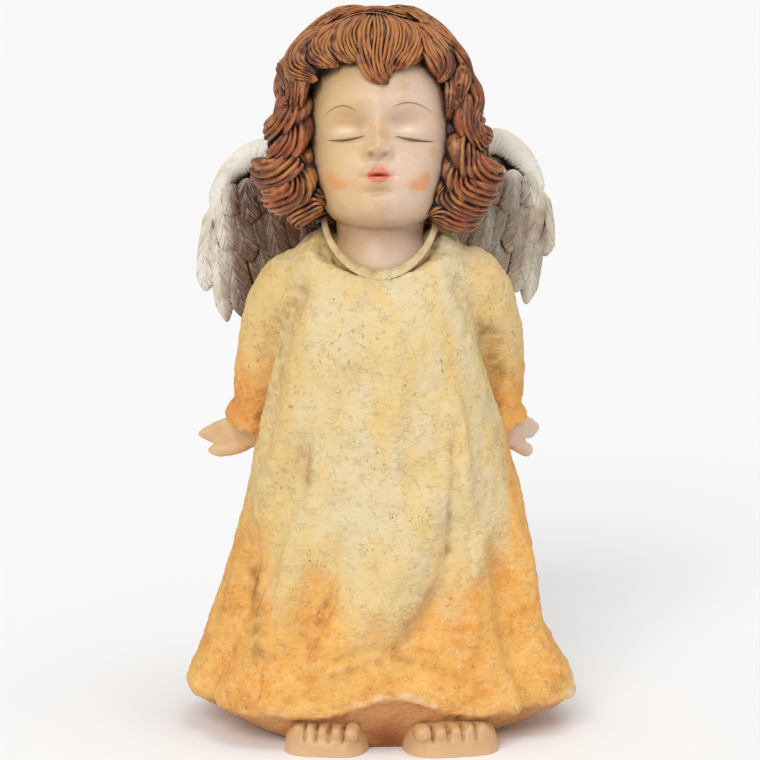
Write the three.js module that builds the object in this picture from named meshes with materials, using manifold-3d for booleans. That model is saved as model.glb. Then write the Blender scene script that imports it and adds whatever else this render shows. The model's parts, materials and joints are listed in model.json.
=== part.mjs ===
// A guardian angel figurine: a standing child angel with closed eyes, curly hair, a long flared robe,
// folded wings, hands held out behind and bare feet. It is cast in one piece and painted.
// Millimetres, +Z up. The figure faces -Y and stands flat on the XY plane, with its left hand at +X.
import * as THREE from "three";
import { mergeVertices } from "three/addons/utils/BufferGeometryUtils.js";
import Module from "manifold-3d";

const wasm = await Module();
wasm.setup();

// Driving dimensions of the whole figure
const CENTRING = 3; // moves the figure back, so that its box is centred on the origin
const NECKLINE = { front: 259, back: 281 }; // heights of its two ends
const HEAD_CENTRE = new THREE.Vector3(0, 3, 330);
const HEAD_TILT = THREE.MathUtils.degToRad(13); // the face looks up
const HAIR_CENTRE = new THREE.Vector3(0, 9, 343);
const SHOULDER_Z = 252;
const SIDES = { right: -1, left: 1 };

const { PI, sin, cos, exp, abs, min, max } = Math;
const { degToRad, lerp, smoothstep, clamp } = THREE.MathUtils;
const at = (x, y, z) => new THREE.Vector3(x, y, z);

// A smooth curve through a few [place, value] stations, read at any place
function through(stations) {
  const last = stations.length - 1;
  const slope = (i) => {
    const [x0, y0] = stations[max(i - 1, 0)];
    const [x1, y1] = stations[min(i + 1, last)];
    return (y1 - y0) / (x1 - x0);
  };
  return (x) => {
    let i = 0;
    while (i < last - 1 && x > stations[i + 1][0]) i++;
    const [x0, y0] = stations[i];
    const [x1, y1] = stations[i + 1];
    const run = x1 - x0;
    const s = clamp((x - x0) / run, 0, 1);
    const rise = slope(i) * run * s * (1 - s) ** 2 - slope(i + 1) * run * s * s * (1 - s);
    return y0 * (1 + 2 * s) * (1 - s) ** 2 + y1 * s * s * (3 - 2 * s) + rise;
  };
}

// A soft hill of height 1 at 0 that has faded out at about twice its width
const hill = (x, width) => exp(-((x / width) ** 2));

// A closed form: a sphere whose rings are moved by place(angle, share), where share runs from pole to pole
function form(around, along, place) {
  const geometry = new THREE.SphereGeometry(1, around, along);
  const { uv, position } = geometry.attributes;
  for (let i = 0; i < position.count; i++) {
    const share = Math.round((1 - uv.getY(i)) * along) / along;
    const pole = share === 0 || share === 1;
    const turn = Math.round(uv.getX(i) * around) % around;
    const p = place(pole ? 0 : (2 * PI * turn) / around, share);
    position.setXYZ(i, p.x, p.y, p.z);
  }
  return geometry;
}

// A closed tube along a curve. size(share) gives its half width and half thickness, thickness being
// measured along facing(point), and bulge(angle, share) scales them round the tube
function tube(points, around, along, size, facing, bulge = () => 1) {
  const curve = new THREE.CatmullRomCurve3(points, false, "centripetal");
  return form(around, along, (angle, share) => {
    const middle = curve.getPoint(share);
    const ahead = curve.getTangent(share);
    const out = facing(middle).clone();
    out.addScaledVector(ahead, -out.dot(ahead)).normalize();
    const across = ahead.clone().cross(out);
    const [width, thickness] = size(share);
    const scale = share === 0 || share === 1 ? 0 : bulge(angle, share);
    return middle
      .addScaledVector(across, width * scale * cos(angle))
      .addScaledVector(out, thickness * scale * sin(angle));
  });
}

// Half sizes of a tube that starts blunt, is full in the middle and ends as a point or a round tip
const tapered = (width, thickness, blunt, tip) => (share) => {
  const fullness = min(1, (share / blunt) ** 0.5, ((1 - share) / tip) ** 0.5);
  return [width * fullness, thickness * fullness];
};

// Joins closed geometries into one solid
function solid(geometry) {
  const bare = new THREE.BufferGeometry();
  bare.setAttribute("position", geometry.getAttribute("position"));
  bare.setIndex(geometry.index);
  const merged = mergeVertices(bare, 1e-3);
  const corners = Array.from(merged.index.array);
  const kept = [];
  for (let i = 0; i < corners.length; i += 3) {
    const [a, b, c] = corners.slice(i, i + 3);
    if (a !== b && b !== c && c !== a) kept.push(a, b, c);
  }
  const facesOut = signedVolume(merged.attributes.position.array, kept) > 0;
  if (!facesOut) kept.reverse();
  return new wasm.Manifold(
    new wasm.Mesh({
      numProp: 3,
      vertProperties: merged.attributes.position.array,
      triVerts: new Uint32Array(kept),
    }),
  );
}

function signedVolume(places, corners) {
  const corner = (i) => new THREE.Vector3().fromArray(places, 3 * corners[i]);
  let sum = 0;
  for (let i = 0; i < corners.length; i += 3) {
    sum += corner(i).dot(corner(i + 1).cross(corner(i + 2)));
  }
  return sum / 6;
}

const join = (geometries) => geometries.map(solid).reduce((whole, piece) => whole.add(piece));

// A casting is solid between its forms, so any void that they seal off inside is filled
const filled = (whole) => whole.decompose().find((skin) => skin.volume() > 0);

// Robe: half widths to the side, front and back at each height, then the folds pressed into it.
// Its underside slopes in below the hem to the flat that the figure stands on
const robeSide = through([
  [16, 112],
  [28, 108],
  [45, 98],
  [69, 90],
  [95, 84],
  [126, 77],
  [170, 68],
  [215, 64],
  [240, 65],
  [254, 61],
  [268, 47],
  [279, 29],
]);
const robeFront = through([
  [16, 69],
  [60, 65],
  [130, 60],
  [200, 55],
  [225, 52],
  [243, 46],
  [258, 38],
  [279, 30],
]);
const robeBack = through([
  [16, 68],
  [60, 61],
  [130, 50],
  [200, 43],
  [245, 41],
  [268, 35],
  [281, 26],
]);

// Each fold: where its line lies, in degrees from straight ahead towards the left hand, at its top
// and bottom, the heights it runs between, its half width in degrees and how far it stands out
const FRONT_FOLDS = [
  { top: -34, bottom: -52, from: 185, to: 60, width: 7, out: -8 },
  { top: -60, bottom: -64, from: 130, to: 25, width: 7, out: -8 },
  { top: -47, bottom: -38, from: 150, to: 35, width: 9, out: 5 },
  { top: 4, bottom: 3, from: 250, to: 140, width: 5, out: 3 },
  { top: 36, bottom: 33, from: 215, to: 110, width: 6, out: 5 },
  { top: 27, bottom: -14, from: 165, to: 50, width: 10, out: 6 },
  { top: 40, bottom: 12, from: 150, to: 55, width: 7, out: -6 },
  { top: -12, bottom: -24, from: 130, to: 55, width: 6, out: -4 },
  { top: 64, bottom: 68, from: 140, to: 25, width: 8, out: 6 },
  { top: 51, bottom: 52, from: 130, to: 25, width: 7, out: -7 },
];
const BACK_FOLDS = Array.from({ length: 7 }, (_, i) => ({
  top: 180 + (i - 3) * 17,
  bottom: 180 + (i - 3) * 23,
  from: 210,
  to: 25,
  width: 7,
  out: i % 2 ? -6 : 5,
}));

function foldOut(degrees, z) {
  let out = 0;
  for (const fold of [...FRONT_FOLDS, ...BACK_FOLDS]) {
    const share = (fold.from - z) / (fold.from - fold.to);
    const line = lerp(fold.top, fold.bottom, clamp(share, 0, 1));
    const turn = ((((degrees - line) % 360) + 540) % 360) - 180;
    const fade = smoothstep(share, 0, 0.35) * (1 - smoothstep(share, 1, 1.25));
    out += fold.out * fade * hill(turn, fold.width);
  }
  return out;
}

// The hem dips over each foot, arches between them and comes lower towards the back
const hemZ = (degrees) => {
  const side = abs(degrees) / 90;
  return 23 + 11 * hill(degrees - 4, 13) + 3 * hill(side - 1, 0.25) - 6 * smoothstep(side, 1.1, 1.6);
};
const topZ = (degrees) => {
  const forward = max(0, cos(degToRad(degrees)));
  return lerp(NECKLINE.back - 3, NECKLINE.front, forward ** 1.3);
};
const STANDING_FLAT = { side: 64, front: 54, back: 52 };
const HEM_THICKNESS = 6;

function robePoint(degrees, z, scale = 1) {
  const angle = degToRad(degrees);
  const depth = abs(degrees) < 90 ? robeFront(z) : robeBack(z);
  const roundness = 0.9; // below 1 makes the plan a little squarer than an oval
  const [s, c] = [sin(angle), cos(angle)];
  const x = Math.sign(s) * abs(s) ** roundness * robeSide(z);
  const y = -Math.sign(c) * abs(c) ** roundness * depth;
  const grow = scale + foldOut(degrees, z) / Math.hypot(x, y);
  return at(x * grow, y * grow, z);
}

function robe() {
  const rows = 17;
  return form(36, rows, (angle, share) => {
    const degrees = THREE.MathUtils.radToDeg(angle) - 180;
    const row = Math.round(share * rows);
    if (row === 0) return at(0, 0, NECKLINE.front);
    if (row === rows) return at(0, 0, 0);
    const ground = row === rows - 1;
    if (ground) {
      const a = degToRad(degrees);
      const depth = abs(degrees) < 90 ? STANDING_FLAT.front : STANDING_FLAT.back;
      return at(STANDING_FLAT.side * sin(a), -depth * cos(a), 0);
    }
    const hem = hemZ(degrees);
    if (row === rows - 2) {
      const under = robePoint(degrees, hem, 0.95);
      return under.setZ(hem - HEM_THICKNESS);
    }
    const down = (row - 1) / (rows - 4);
    const z = lerp(topZ(degrees), hem, down ** 1.1);
    return robePoint(degrees, z);
  });
}

// Sleeves: full tubes from the shoulders down to gathered cuffs
function sleeve(side) {
  const points = [
    at(side * 34, 0, SHOULDER_Z + 2),
    at(side * 53, 2, SHOULDER_Z - 5),
    at(side * 60, 9, SHOULDER_Z - 42),
    at(side * 66, 16, SHOULDER_Z - 74),
    at(side * 70, 19, SHOULDER_Z - 88),
  ];
  const radius = through([
    [0, 17],
    [0.3, 19.5],
    [0.55, 18],
    [0.8, 17],
    [0.92, 16.5],
    [1, 12],
  ]);
  const crease = (angle, share) => 1 - 0.07 * hill(share - 0.55, 0.05) * (1 + cos(angle));
  const size = (share) => {
    const end = min(1, (share / 0.1) ** 0.5, ((1 - share) / 0.06) ** 0.5);
    return [radius(share) * end, radius(share) * 1.15 * end];
  };
  return tube(points, 10, 8, size, () => at(0, 1, 0), crease);
}

// Hands: each reaches out from its cuff, with four fingers together above and the thumb below. It is
// made pointing to +X with its back towards -Y, then turned back about its wrist and mirrored
const HANDS = {
  right: { turnBack: 14, size: 1 },
  left: { turnBack: 50, size: 0.95 },
};

function hand(side, { turnBack, size }) {
  const backOfHand = () => at(0, -1, 0.1);
  const onSide = new THREE.Matrix4()
    .makeTranslation(side * 71, 20, SHOULDER_Z - 91)
    .multiply(new THREE.Matrix4().makeScale(side * size, size, size))
    .multiply(new THREE.Matrix4().makeRotationZ(degToRad(turnBack)));
  const limb = (points, around, along, width, thickness) =>
    tube(points, around, along, tapered(width, thickness, 0.25, 0.3), backOfHand).applyMatrix4(onSide);
  const palm = limb([at(-10, 0, 2), at(6, 0, 0), at(20, 0, -3)], 8, 5, 11, 7);
  const fingers = [0, 1, 2, 3].map((i) => {
    const z = 4.5 - 4 * i;
    const length = [15, 17, 16, 13][i];
    const tip = at(16 + length, 1, -5 - 1.5 * i);
    return limb([at(13, 0, z), at(13 + length * 0.55, -2, z - 2), tip], 4, 3, 3.4, 3.4);
  });
  const thumb = limb([at(-2, 0, -6), at(10, -2, -13), at(23, -2, -15)], 5, 4, 4.6, 4.6);
  return [palm, ...fingers, thumb];
}

// Head: a child's round head in its own upright frame, with the face at -Y, then tilted back
const headSide = through([
  [-56, 0],
  [-50, 19],
  [-38, 32],
  [-23, 38],
  [0, 39.5],
  [22, 37.5],
  [40, 25],
  [52, 0],
]);
const headFront = through([
  [-56, 8],
  [-50, 26],
  [-38, 36],
  [-12, 39.5],
  [8, 42],
  [24, 41],
  [40, 28],
  [52, 0],
]);
const headBack = through([
  [-56, 0],
  [-30, 24],
  [-10, 38],
  [12, 43],
  [34, 34],
  [52, 0],
]);

// Each feature of the face: where it is, its half width and height, and how far it stands out
const FACE_FORMS = [
  { x: 0, z: -48, wide: 10, high: 6, out: 3.5, name: "chin" },
  { x: 23, z: -27, wide: 12, high: 12, out: 3, name: "cheek" },
  { x: 0, z: -30.5, wide: 7.5, high: 3, out: 4.2, name: "upper lip" },
  { x: 0, z: -36, wide: 6.5, high: 3, out: 4, name: "lower lip" },
  { x: 0, z: -18, wide: 5.5, high: 5, out: 8, name: "nose tip" },
  { x: 6.5, z: -19.5, wide: 3.5, high: 3.5, out: 2.6, name: "nostril wing" },
  { x: 0, z: -5, wide: 4.5, high: 10, out: 3.4, name: "nose bridge" },
  { x: 16, z: 0, wide: 10, high: 7, out: -4, name: "eye socket" },
  { x: 17, z: -5.5, wide: 9, high: 5, out: 3.8, name: "closed lid" },
  { x: 16, z: 12, wide: 13, high: 5, out: 1, name: "brow" },
];

function faceOut(x, z) {
  let out = 0;
  for (const part of FACE_FORMS) {
    const high = (z - part.z) / part.high;
    for (const middle of part.x ? [-part.x, part.x] : [0]) {
      out += part.out * exp(-(((x - middle) / part.wide) ** 2) - high * high);
    }
  }
  return out;
}

const intoHead = new THREE.Matrix4()
  .makeTranslation(HEAD_CENTRE.x, HEAD_CENTRE.y, HEAD_CENTRE.z)
  .multiply(new THREE.Matrix4().makeRotationX(-HEAD_TILT));

function head() {
  return form(24, 18, (angle, share) => {
    const z = -56 + 108 * (0.5 - 0.5 * cos(PI * share));
    const pole = share === 0 || share === 1;
    // the angle crowds towards the face, where the detail is
    const around = angle - PI - 0.45 * sin(angle - PI);
    const side = pole ? 0 : headSide(z);
    const depth = abs(around) < PI / 2 ? headFront(z) : headBack(z);
    const x = side * sin(around);
    let y = -(pole ? 0 : depth) * cos(around);
    if (y < 0) y -= faceOut(x, z) * smoothstep(-y, 8, 24);
    return at(x, y, z).applyMatrix4(intoHead);
  });
}

// Neck, full under the chin, and the raised edge of the neckline that dips in front of it
function neck() {
  const points = [at(0, -6, 244), at(0, -5, 262), at(0, 0, 276), at(0, -1, 306)];
  const radius = through([
    [0, 29],
    [0.25, 30],
    [0.5, 26],
    [0.75, 27],
    [1, 28],
  ]);
  const size = (share) => {
    const end = min(1, (share / 0.08) ** 0.5, ((1 - share) / 0.1) ** 0.5);
    return [radius(share) * end, radius(share) * end];
  };
  return tube(points, 12, 6, size, () => at(0, 1, 0));
}

function neckline() {
  const ring = new THREE.TorusGeometry(1, 0.1, 4, 18);
  const place = ring.attributes.position;
  for (let i = 0; i < place.count; i++) {
    const [x, y, z] = [place.getX(i), place.getY(i), place.getZ(i)];
    const height = lerp(NECKLINE.front, NECKLINE.back, (y + 1) / 2);
    place.setXYZ(i, x * 30, -6 + y * 33, height + z * 26);
  }
  return ring;
}

// Hair: a cap combed out from the crown, a fringe of separate locks, and ringlets round the sides
const CAP = { side: 51, front: 46, back: 53, height: 55 };
const capReach = (azimuth) => lerp(54, 112, smoothstep(abs(azimuth), 42, 95)); // degrees from the crown

function onCap(azimuth, polar, lift = 0) {
  const [a, p] = [degToRad(azimuth), degToRad(polar)];
  const depth = cos(a) > 0 ? CAP.front : CAP.back;
  return at(
    HAIR_CENTRE.x + (CAP.side + lift) * sin(p) * sin(a),
    HAIR_CENTRE.y - (depth + lift) * sin(p) * cos(a),
    HAIR_CENTRE.z + (CAP.height + lift) * cos(p),
  );
}
const fromHead = (point) => point.clone().sub(HAIR_CENTRE);

function hairCap() {
  const rows = 7;
  const strands = 9;
  return form(27, rows, (angle, share) => {
    if (share === 0) return onCap(0, 0);
    if (share === 1) return HAIR_CENTRE.clone();
    const azimuth = THREE.MathUtils.radToDeg(angle) - 180;
    const polar = (capReach(azimuth) * share * rows) / (rows - 1);
    const lift = 1.4 * cos(strands * angle) * smoothstep(polar, 8, 40);
    return onCap(azimuth, polar, lift);
  });
}

// Fringe: each lock runs forward from near the crown and its tip hooks to one side
const FRINGE = [
  { azimuth: -58, reach: 92, hook: -5, width: 12 },
  { azimuth: -39, reach: 74, hook: 7, width: 12 },
  { azimuth: -18, reach: 64, hook: -5, width: 12 },
  { azimuth: 2, reach: 75, hook: 6, width: 13 },
  { azimuth: 23, reach: 65, hook: -7, width: 12 },
  { azimuth: 42, reach: 73, hook: 6, width: 12 },
  { azimuth: 60, reach: 92, hook: -4, width: 12 },
];

function fringeLock({ azimuth, reach, hook, width }) {
  const points = [
    onCap(azimuth * 0.75, reach * 0.28, -1),
    onCap(azimuth * 0.9, reach * 0.55, 2),
    onCap(azimuth, reach * 0.82, 1),
    onCap(azimuth + hook, reach, -3),
  ];
  return tube(points, 6, 5, tapered(width, 4, 0.25, 0.35), fromHead);
}

// Ringlets: hanging curls, each a screw whose turns bulge out one above the other
const RINGLETS = [-163, -130, -98, -67, 67, 98, 130, 163];
const ringletSpread = through([
  [0, 40],
  [0.25, 48],
  [0.6, 51],
  [0.85, 54],
  [1, 49],
]);
const ringletRadius = through([
  [0, 9],
  [0.25, 12.5],
  [0.65, 14.5],
  [0.9, 13],
  [1, 8],
]);

function ringlet(azimuth) {
  const a = degToRad(azimuth);
  const behind = smoothstep(abs(azimuth), 90, 150);
  const [top, bottom] = [362, lerp(282, 268, behind)];
  const turns = 3.2 * Math.sign(azimuth);
  const points = Array.from({ length: 5 }, (_, i) => {
    const spread = ringletSpread(i / 4) - 6 * behind;
    return at(spread * sin(a), HAIR_CENTRE.y - spread * cos(a), lerp(top, bottom, i / 4));
  });
  const size = (share) => {
    const end = min(1, (share / 0.1) ** 0.5, ((1 - share) / 0.12) ** 0.5);
    return [ringletRadius(share) * end, ringletRadius(share) * end];
  };
  const screw = (angle, share) => 1 + 0.2 * cos(angle - 2 * PI * turns * share);
  return tube(points, 7, 10, size, () => at(0, 1, 0), screw);
}

// Wings: a thick leading edge that arches up from the shoulder blade and down again, a thin web
// under it, and rows of feathers that hang from it in front of the web
const WINGS = {
  right: { rise: 0, droop: 1.12, spread: 3 },
  left: { rise: 5, droop: 0.9, spread: 0 },
};

function wingLine({ rise, spread }) {
  return [
    at(14, 32, 248),
    at(28, 46, 284 + rise),
    at(50, 53, 308 + rise),
    at(72, 54, 307 + rise),
    at(86 + spread, 52, 285 + rise),
    at(90 + spread, 49, 262 + rise),
  ];
}
const mirrored = (points, side) => points.map((p) => at(p.x * side, p.y, p.z));
const wingFacing = (side) => () => at(side * 0.2, -1, 0);

function wingArch(side, wing) {
  const line = mirrored(wingLine(wing), side);
  return tube(line, 8, 10, tapered(12, 8, 0.12, 0.25), wingFacing(side));
}

function wingWeb(side, { rise, droop, spread }) {
  const points = [at(36, 46, 294 + rise), at(60, 50, 268), at(78 + spread, 49, 262 - 20 * droop)];
  return tube(mirrored(points, side), 8, 5, tapered(25, 4.5, 0.3, 0.4), wingFacing(side));
}

// Each row of feathers: how many, where along the arch they root, how long they are at the inner end,
// the middle and the outer end, how wide they are, and how far in front of the web they lie
const FEATHER_ROWS = [
  { count: 7, from: 0.32, to: 1, length: [80, 86, 26], width: 9.5, ahead: 0 },
  { count: 4, from: 0.36, to: 0.86, length: [46, 50, 30], width: 11, ahead: -4 },
  { count: 2, from: 0.46, to: 0.68, length: [26, 28, 20], width: 13, ahead: -7.5 },
];

function feathers(side, wing) {
  const arch = new THREE.CatmullRomCurve3(wingLine(wing), false, "centripetal");
  return FEATHER_ROWS.flatMap((row) => {
    const lengths = through(row.length.map((length, i) => [i / 2, length]));
    return Array.from({ length: row.count }, (_, i) => {
      const share = i / (row.count - 1);
      const root = arch.getPoint(lerp(row.from, row.to, share));
      const length = lengths(share) * wing.droop;
      root.y += row.ahead + (i % 2 ? 0.9 : -0.9);
      const tip = root.clone().add(at(length * 0.1, -1, -length));
      const middle = root.clone().lerp(tip, 0.5).add(at(2, -2.5, 0));
      const points = mirrored([root, middle, tip], side);
      return tube(points, 4, 4, tapered(row.width, 2.8, 0.3, 0.4), wingFacing(side));
    });
  });
}

// Feet: bare and blocky, toes forward, standing on the flat below the hem
const FEET = {
  right: { middle: -24.5, turnOut: -6, toesZ: 15 },
  left: { middle: 32, turnOut: 8, toesZ: 15 },
};

function foot(side, { middle, turnOut, toesZ }) {
  const squared = (value) => Math.sign(value) * abs(value) ** 0.55;
  const place = new THREE.Matrix4()
    .makeTranslation(middle, -44, 0)
    .multiply(new THREE.Matrix4().makeRotationZ(degToRad(turnOut)));
  const sole = form(12, 5, (angle, share) => {
    const flat = sin(PI * share) ** 0.45;
    return at(21 * flat * squared(cos(angle)), 28 * flat * squared(sin(angle)), -14 * cos(PI * share));
  });
  const toes = [0, 1, 2, 3, 4].map((i) => {
    const radius = i === 0 ? 5.6 : 4.6 - 0.3 * i;
    const across = side * (-15.5 + 8.2 * i - 0.35 * i * i);
    const front = -31 + 0.8 * i * i * 0.5;
    const points = [at(across, front + 20, toesZ - 4), at(across, front + 8, toesZ - 4), at(across, front, toesZ - 6)];
    return tube(points, 5, 4, tapered(radius, radius, 0.3, 0.25), () => at(0, 0, 1));
  });
  return [sole, ...toes].map((piece) => piece.applyMatrix4(place));
}

// The figure stands flat, so all that reaches below the ground is cut off
function underGround() {
  const depth = 60;
  return solid(new THREE.BoxGeometry(400, 400, depth).translate(0, 0, -depth / 2));
}

function figurine() {
  const pairs = Object.entries(SIDES).flatMap(([name, side]) => [
    sleeve(side),
    ...hand(side, HANDS[name]),
    wingArch(side, WINGS[name]),
    wingWeb(side, WINGS[name]),
    ...feathers(side, WINGS[name]),
    ...foot(side, FEET[name]),
  ]);
  const curls = [hairCap(), ...FRINGE.map(fringeLock), ...RINGLETS.map(ringlet)];
  const whole = join([robe(), head(), neck(), neckline(), ...curls, ...pairs]);
  return filled(whole.subtract(underGround())).translate(0, CENTRING, 0);
}

function meshOf(name, piece, material) {
  const { vertProperties, triVerts } = piece.getMesh();
  const geometry = new THREE.BufferGeometry();
  geometry.setAttribute("position", new THREE.BufferAttribute(vertProperties, 3));
  geometry.setIndex(new THREE.BufferAttribute(triVerts, 1));
  geometry.computeVertexNormals();
  const mesh = new THREE.Mesh(geometry, material);
  mesh.name = name;
  return mesh;
}

const paintedResin = new THREE.MeshStandardMaterial({
  color: 0xe6c987,
  roughness: 0.7,
  metalness: 0,
});

const group = new THREE.Group();
group.add(meshOf("angel_figurine", figurine(), paintedResin));

export default group;
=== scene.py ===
# Camera: as the photograph was taken, 1.6 m in front of the figurine and 10 degrees above it
import json
from math import cos, pi, radians, sin, sqrt

import bmesh
import bpy
import numpy as np
from mathutils import Matrix, Vector, noise
from mathutils.bvhtree import BVHTree

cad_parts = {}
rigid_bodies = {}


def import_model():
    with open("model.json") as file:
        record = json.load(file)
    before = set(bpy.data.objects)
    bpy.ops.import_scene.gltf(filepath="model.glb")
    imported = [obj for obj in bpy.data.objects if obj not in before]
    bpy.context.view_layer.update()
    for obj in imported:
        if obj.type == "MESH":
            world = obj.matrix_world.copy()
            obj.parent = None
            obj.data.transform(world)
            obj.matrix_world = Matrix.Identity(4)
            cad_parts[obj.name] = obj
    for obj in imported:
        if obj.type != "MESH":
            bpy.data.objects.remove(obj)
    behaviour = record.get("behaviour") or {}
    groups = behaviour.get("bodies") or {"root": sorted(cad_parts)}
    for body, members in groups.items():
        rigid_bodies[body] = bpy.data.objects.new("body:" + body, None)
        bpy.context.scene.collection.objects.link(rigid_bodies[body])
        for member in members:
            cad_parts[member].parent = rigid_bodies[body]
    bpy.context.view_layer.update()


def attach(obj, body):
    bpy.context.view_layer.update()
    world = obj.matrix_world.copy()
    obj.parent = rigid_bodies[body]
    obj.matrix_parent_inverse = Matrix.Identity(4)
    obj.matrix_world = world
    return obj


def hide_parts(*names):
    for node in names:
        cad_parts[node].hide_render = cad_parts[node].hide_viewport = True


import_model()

AIM = Vector((0, 0, 0.193))
CAMERA_DISTANCE = 1.6
LOOKING_DOWN = radians(10)
camera_data = bpy.data.cameras.new("camera")
camera_data.sensor_width = 36
camera_data.lens = 138.5
camera = bpy.data.objects.new("camera", camera_data)
camera.location = AIM + CAMERA_DISTANCE * Vector((0, -cos(LOOKING_DOWN), sin(LOOKING_DOWN)))
camera.rotation_euler = (pi / 2 - LOOKING_DOWN, 0, 0)
bpy.context.scene.collection.objects.link(camera)
bpy.context.scene.camera = camera


# Robe and sleeves: one flared gown, cast in resin with the rest and then daubed with a thick paint that
# dried to a crust. It is modelled in millimetres, as every form of the casting is, and joined up below
def through(stations):
    """A smooth curve through a few [place, value] stations, read at any places"""
    places, values = np.array(stations, float).T
    last = len(places) - 1
    before = np.maximum(np.arange(last + 1) - 1, 0)
    after = np.minimum(np.arange(last + 1) + 1, last)
    slopes = (values[after] - values[before]) / (places[after] - places[before])

    def read(where):
        i = np.clip(np.searchsorted(places, where, side="right") - 1, 0, last - 1)
        run = places[i + 1] - places[i]
        s = np.clip((where - places[i]) / run, 0, 1)
        rise = run * s * (1 - s) * (slopes[i] * (1 - s) - slopes[i + 1] * s)
        return values[i] * (1 + 2 * s) * (1 - s) ** 2 + values[i + 1] * s * s * (3 - 2 * s) + rise

    return read


def hill(x, width):
    return np.exp(-((x / width) ** 2))


def step(x, start, end):
    s = np.clip((x - start) / (end - start), 0, 1)
    return s * s * (3 - 2 * s)


def between(a, b, share):
    return a + (b - a) * share


def columns(*values):
    return np.stack(np.broadcast_arrays(*values), axis=-1).astype(float)


def form(name, paint, around, along, place):
    """A closed form: a sphere whose rings are moved by place(angle, share), share running pole to pole.
    place gives the points and their grain, which is how far across and along the form they are"""
    shape = bmesh.new()
    bmesh.ops.create_uvsphere(shape, u_segments=around, v_segments=along, radius=1)
    ball = np.array([vert.co for vert in shape.verts])
    share = np.round(np.arccos(np.clip(ball[:, 2], -1, 1)) / pi * along) / along
    angle = np.round(np.arctan2(ball[:, 1], ball[:, 0]) / (2 * pi) * around) % around * 2 * pi / around
    angle[(share == 0) | (share == 1)] = 0
    points, grain = place(angle, share)
    for vert, point in zip(shape.verts, points):
        vert.co = point
    if shape.calc_volume(signed=True) < 0:
        bmesh.ops.reverse_faces(shape, faces=shape.faces)
    return finished(name, paint, shape, grain)


def finished(name, paint, shape, grain=None):
    mesh = bpy.data.meshes.new(name)
    shape.to_mesh(mesh)
    shape.free()
    mesh.materials.append(paint)
    if grain is not None:
        mesh.attributes.new("grain", "FLOAT_VECTOR", "POINT").data.foreach_set("vector", grain.ravel())
    return mesh


def curve(points, shares):
    """Places and directions along a rounded line through the points"""
    knots = np.array(points, float)
    knots = np.vstack([2 * knots[0] - knots[1], knots, 2 * knots[-1] - knots[-2]])
    spans = len(knots) - 3
    i = np.minimum((shares * spans).astype(int), spans - 1)
    s = (shares * spans - i)[:, None]
    p0, p1, p2, p3 = (knots[i + k] for k in range(4))
    d0, d1, d2 = (np.sqrt(np.linalg.norm(b - a, axis=1))[:, None] for a, b in ((p0, p1), (p1, p2), (p2, p3)))
    m1 = ((p1 - p0) / d0 - (p2 - p0) / (d0 + d1) + (p2 - p1) / d1) * d1
    m2 = ((p2 - p1) / d1 - (p3 - p1) / (d1 + d2) + (p3 - p2) / d2) * d1
    bend, swing = -3 * p1 + 3 * p2 - 2 * m1 - m2, 2 * p1 - 2 * p2 + m1 + m2
    place = p1 + m1 * s + bend * s**2 + swing * s**3
    ahead = m1 + 2 * bend * s + 3 * swing * s**2
    return place, ahead / np.linalg.norm(ahead, axis=1)[:, None]


def tube(name, paint, points, around, along, size, facing, bulge=None, crowd=0.0, grain=None, number=0.0):
    """A closed tube along a curve. size(share) gives its half width and half thickness, thickness being
    along facing(points), bulge(angle, share) scales them, and crowd puts more points on the outside"""
    rings = np.arange(along + 1) / along
    middle, ahead = curve(points, rings)
    out = np.broadcast_to(facing(middle), middle.shape).astype(float)
    out = out - ahead * (out * ahead).sum(1)[:, None]
    out /= np.linalg.norm(out, axis=1)[:, None]
    across = np.cross(ahead, out)
    width, thickness = (np.broadcast_to(value, rings.shape) for value in size(rings))
    reach = np.concatenate([[0], np.cumsum(np.linalg.norm(np.diff(middle, axis=0), axis=1))])

    def place(angle, share):
        ring = np.round(share * along).astype(int)
        turn = angle + crowd * np.cos(angle)
        scale = np.where((share == 0) | (share == 1), 0, 1 if bulge is None else bulge(turn, share))
        aside = (width[ring] * scale * np.cos(turn))[:, None]
        up = (thickness[ring] * scale * np.sin(turn))[:, None]
        lie = width[ring] * np.cos(turn) if grain is None else grain(turn, share)
        return middle[ring] + across[ring] * aside + out[ring] * up, columns(lie, reach[ring], number)

    return form(name, paint, around, along, place)


NECKLINE_FRONT, NECKLINE_BACK = 256, 281
robe_side = through(
    [[16, 111], [28, 107], [45, 98], [69, 90], [95, 84], [126, 77], [150, 71], [170, 67], [215, 60]]
    + [[240, 56], [254, 53], [268, 44], [279, 29]]
)
robe_front = through([[16, 69], [60, 65], [130, 60], [200, 55], [225, 52], [243, 46], [258, 38], [279, 30]])
robe_back = through([[16, 68], [60, 61], [130, 50], [200, 43], [245, 41], [268, 35], [281, 26]])
robe_lean = through(
    [[16, 0], [41, -0.8], [55, -2.7], [68, -1.5], [82, 0], [105, 1.6]]
    + [[140, 1.8], [165, 0.8], [200, 0], [281, 0]]
)

# Each fold: where its line lies, in degrees from straight ahead towards the left hand, at its top
# and bottom, the heights it runs between, its half width in degrees and how far it stands out
FRONT_FOLDS = [
    (-34, -52, 185, 60, 7, -8),
    (-60, -64, 130, 25, 7, -8),
    (-47, -38, 150, 35, 9, 5),
    (4, 3, 250, 140, 5, 3),
    (36, 33, 215, 110, 6, 5),
    (27, -14, 165, 50, 10, 6),
    (40, 12, 150, 55, 7, -6),
    (-12, -24, 130, 55, 6, -4),
    (64, 68, 140, 25, 8, 6),
    (51, 52, 130, 25, 7, -7),
]
BACK_FOLDS = [(180 + k * 17, 180 + k * 23, 210, 25, 7, -6 if k % 2 == 0 else 5) for k in range(-3, 4)]


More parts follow.
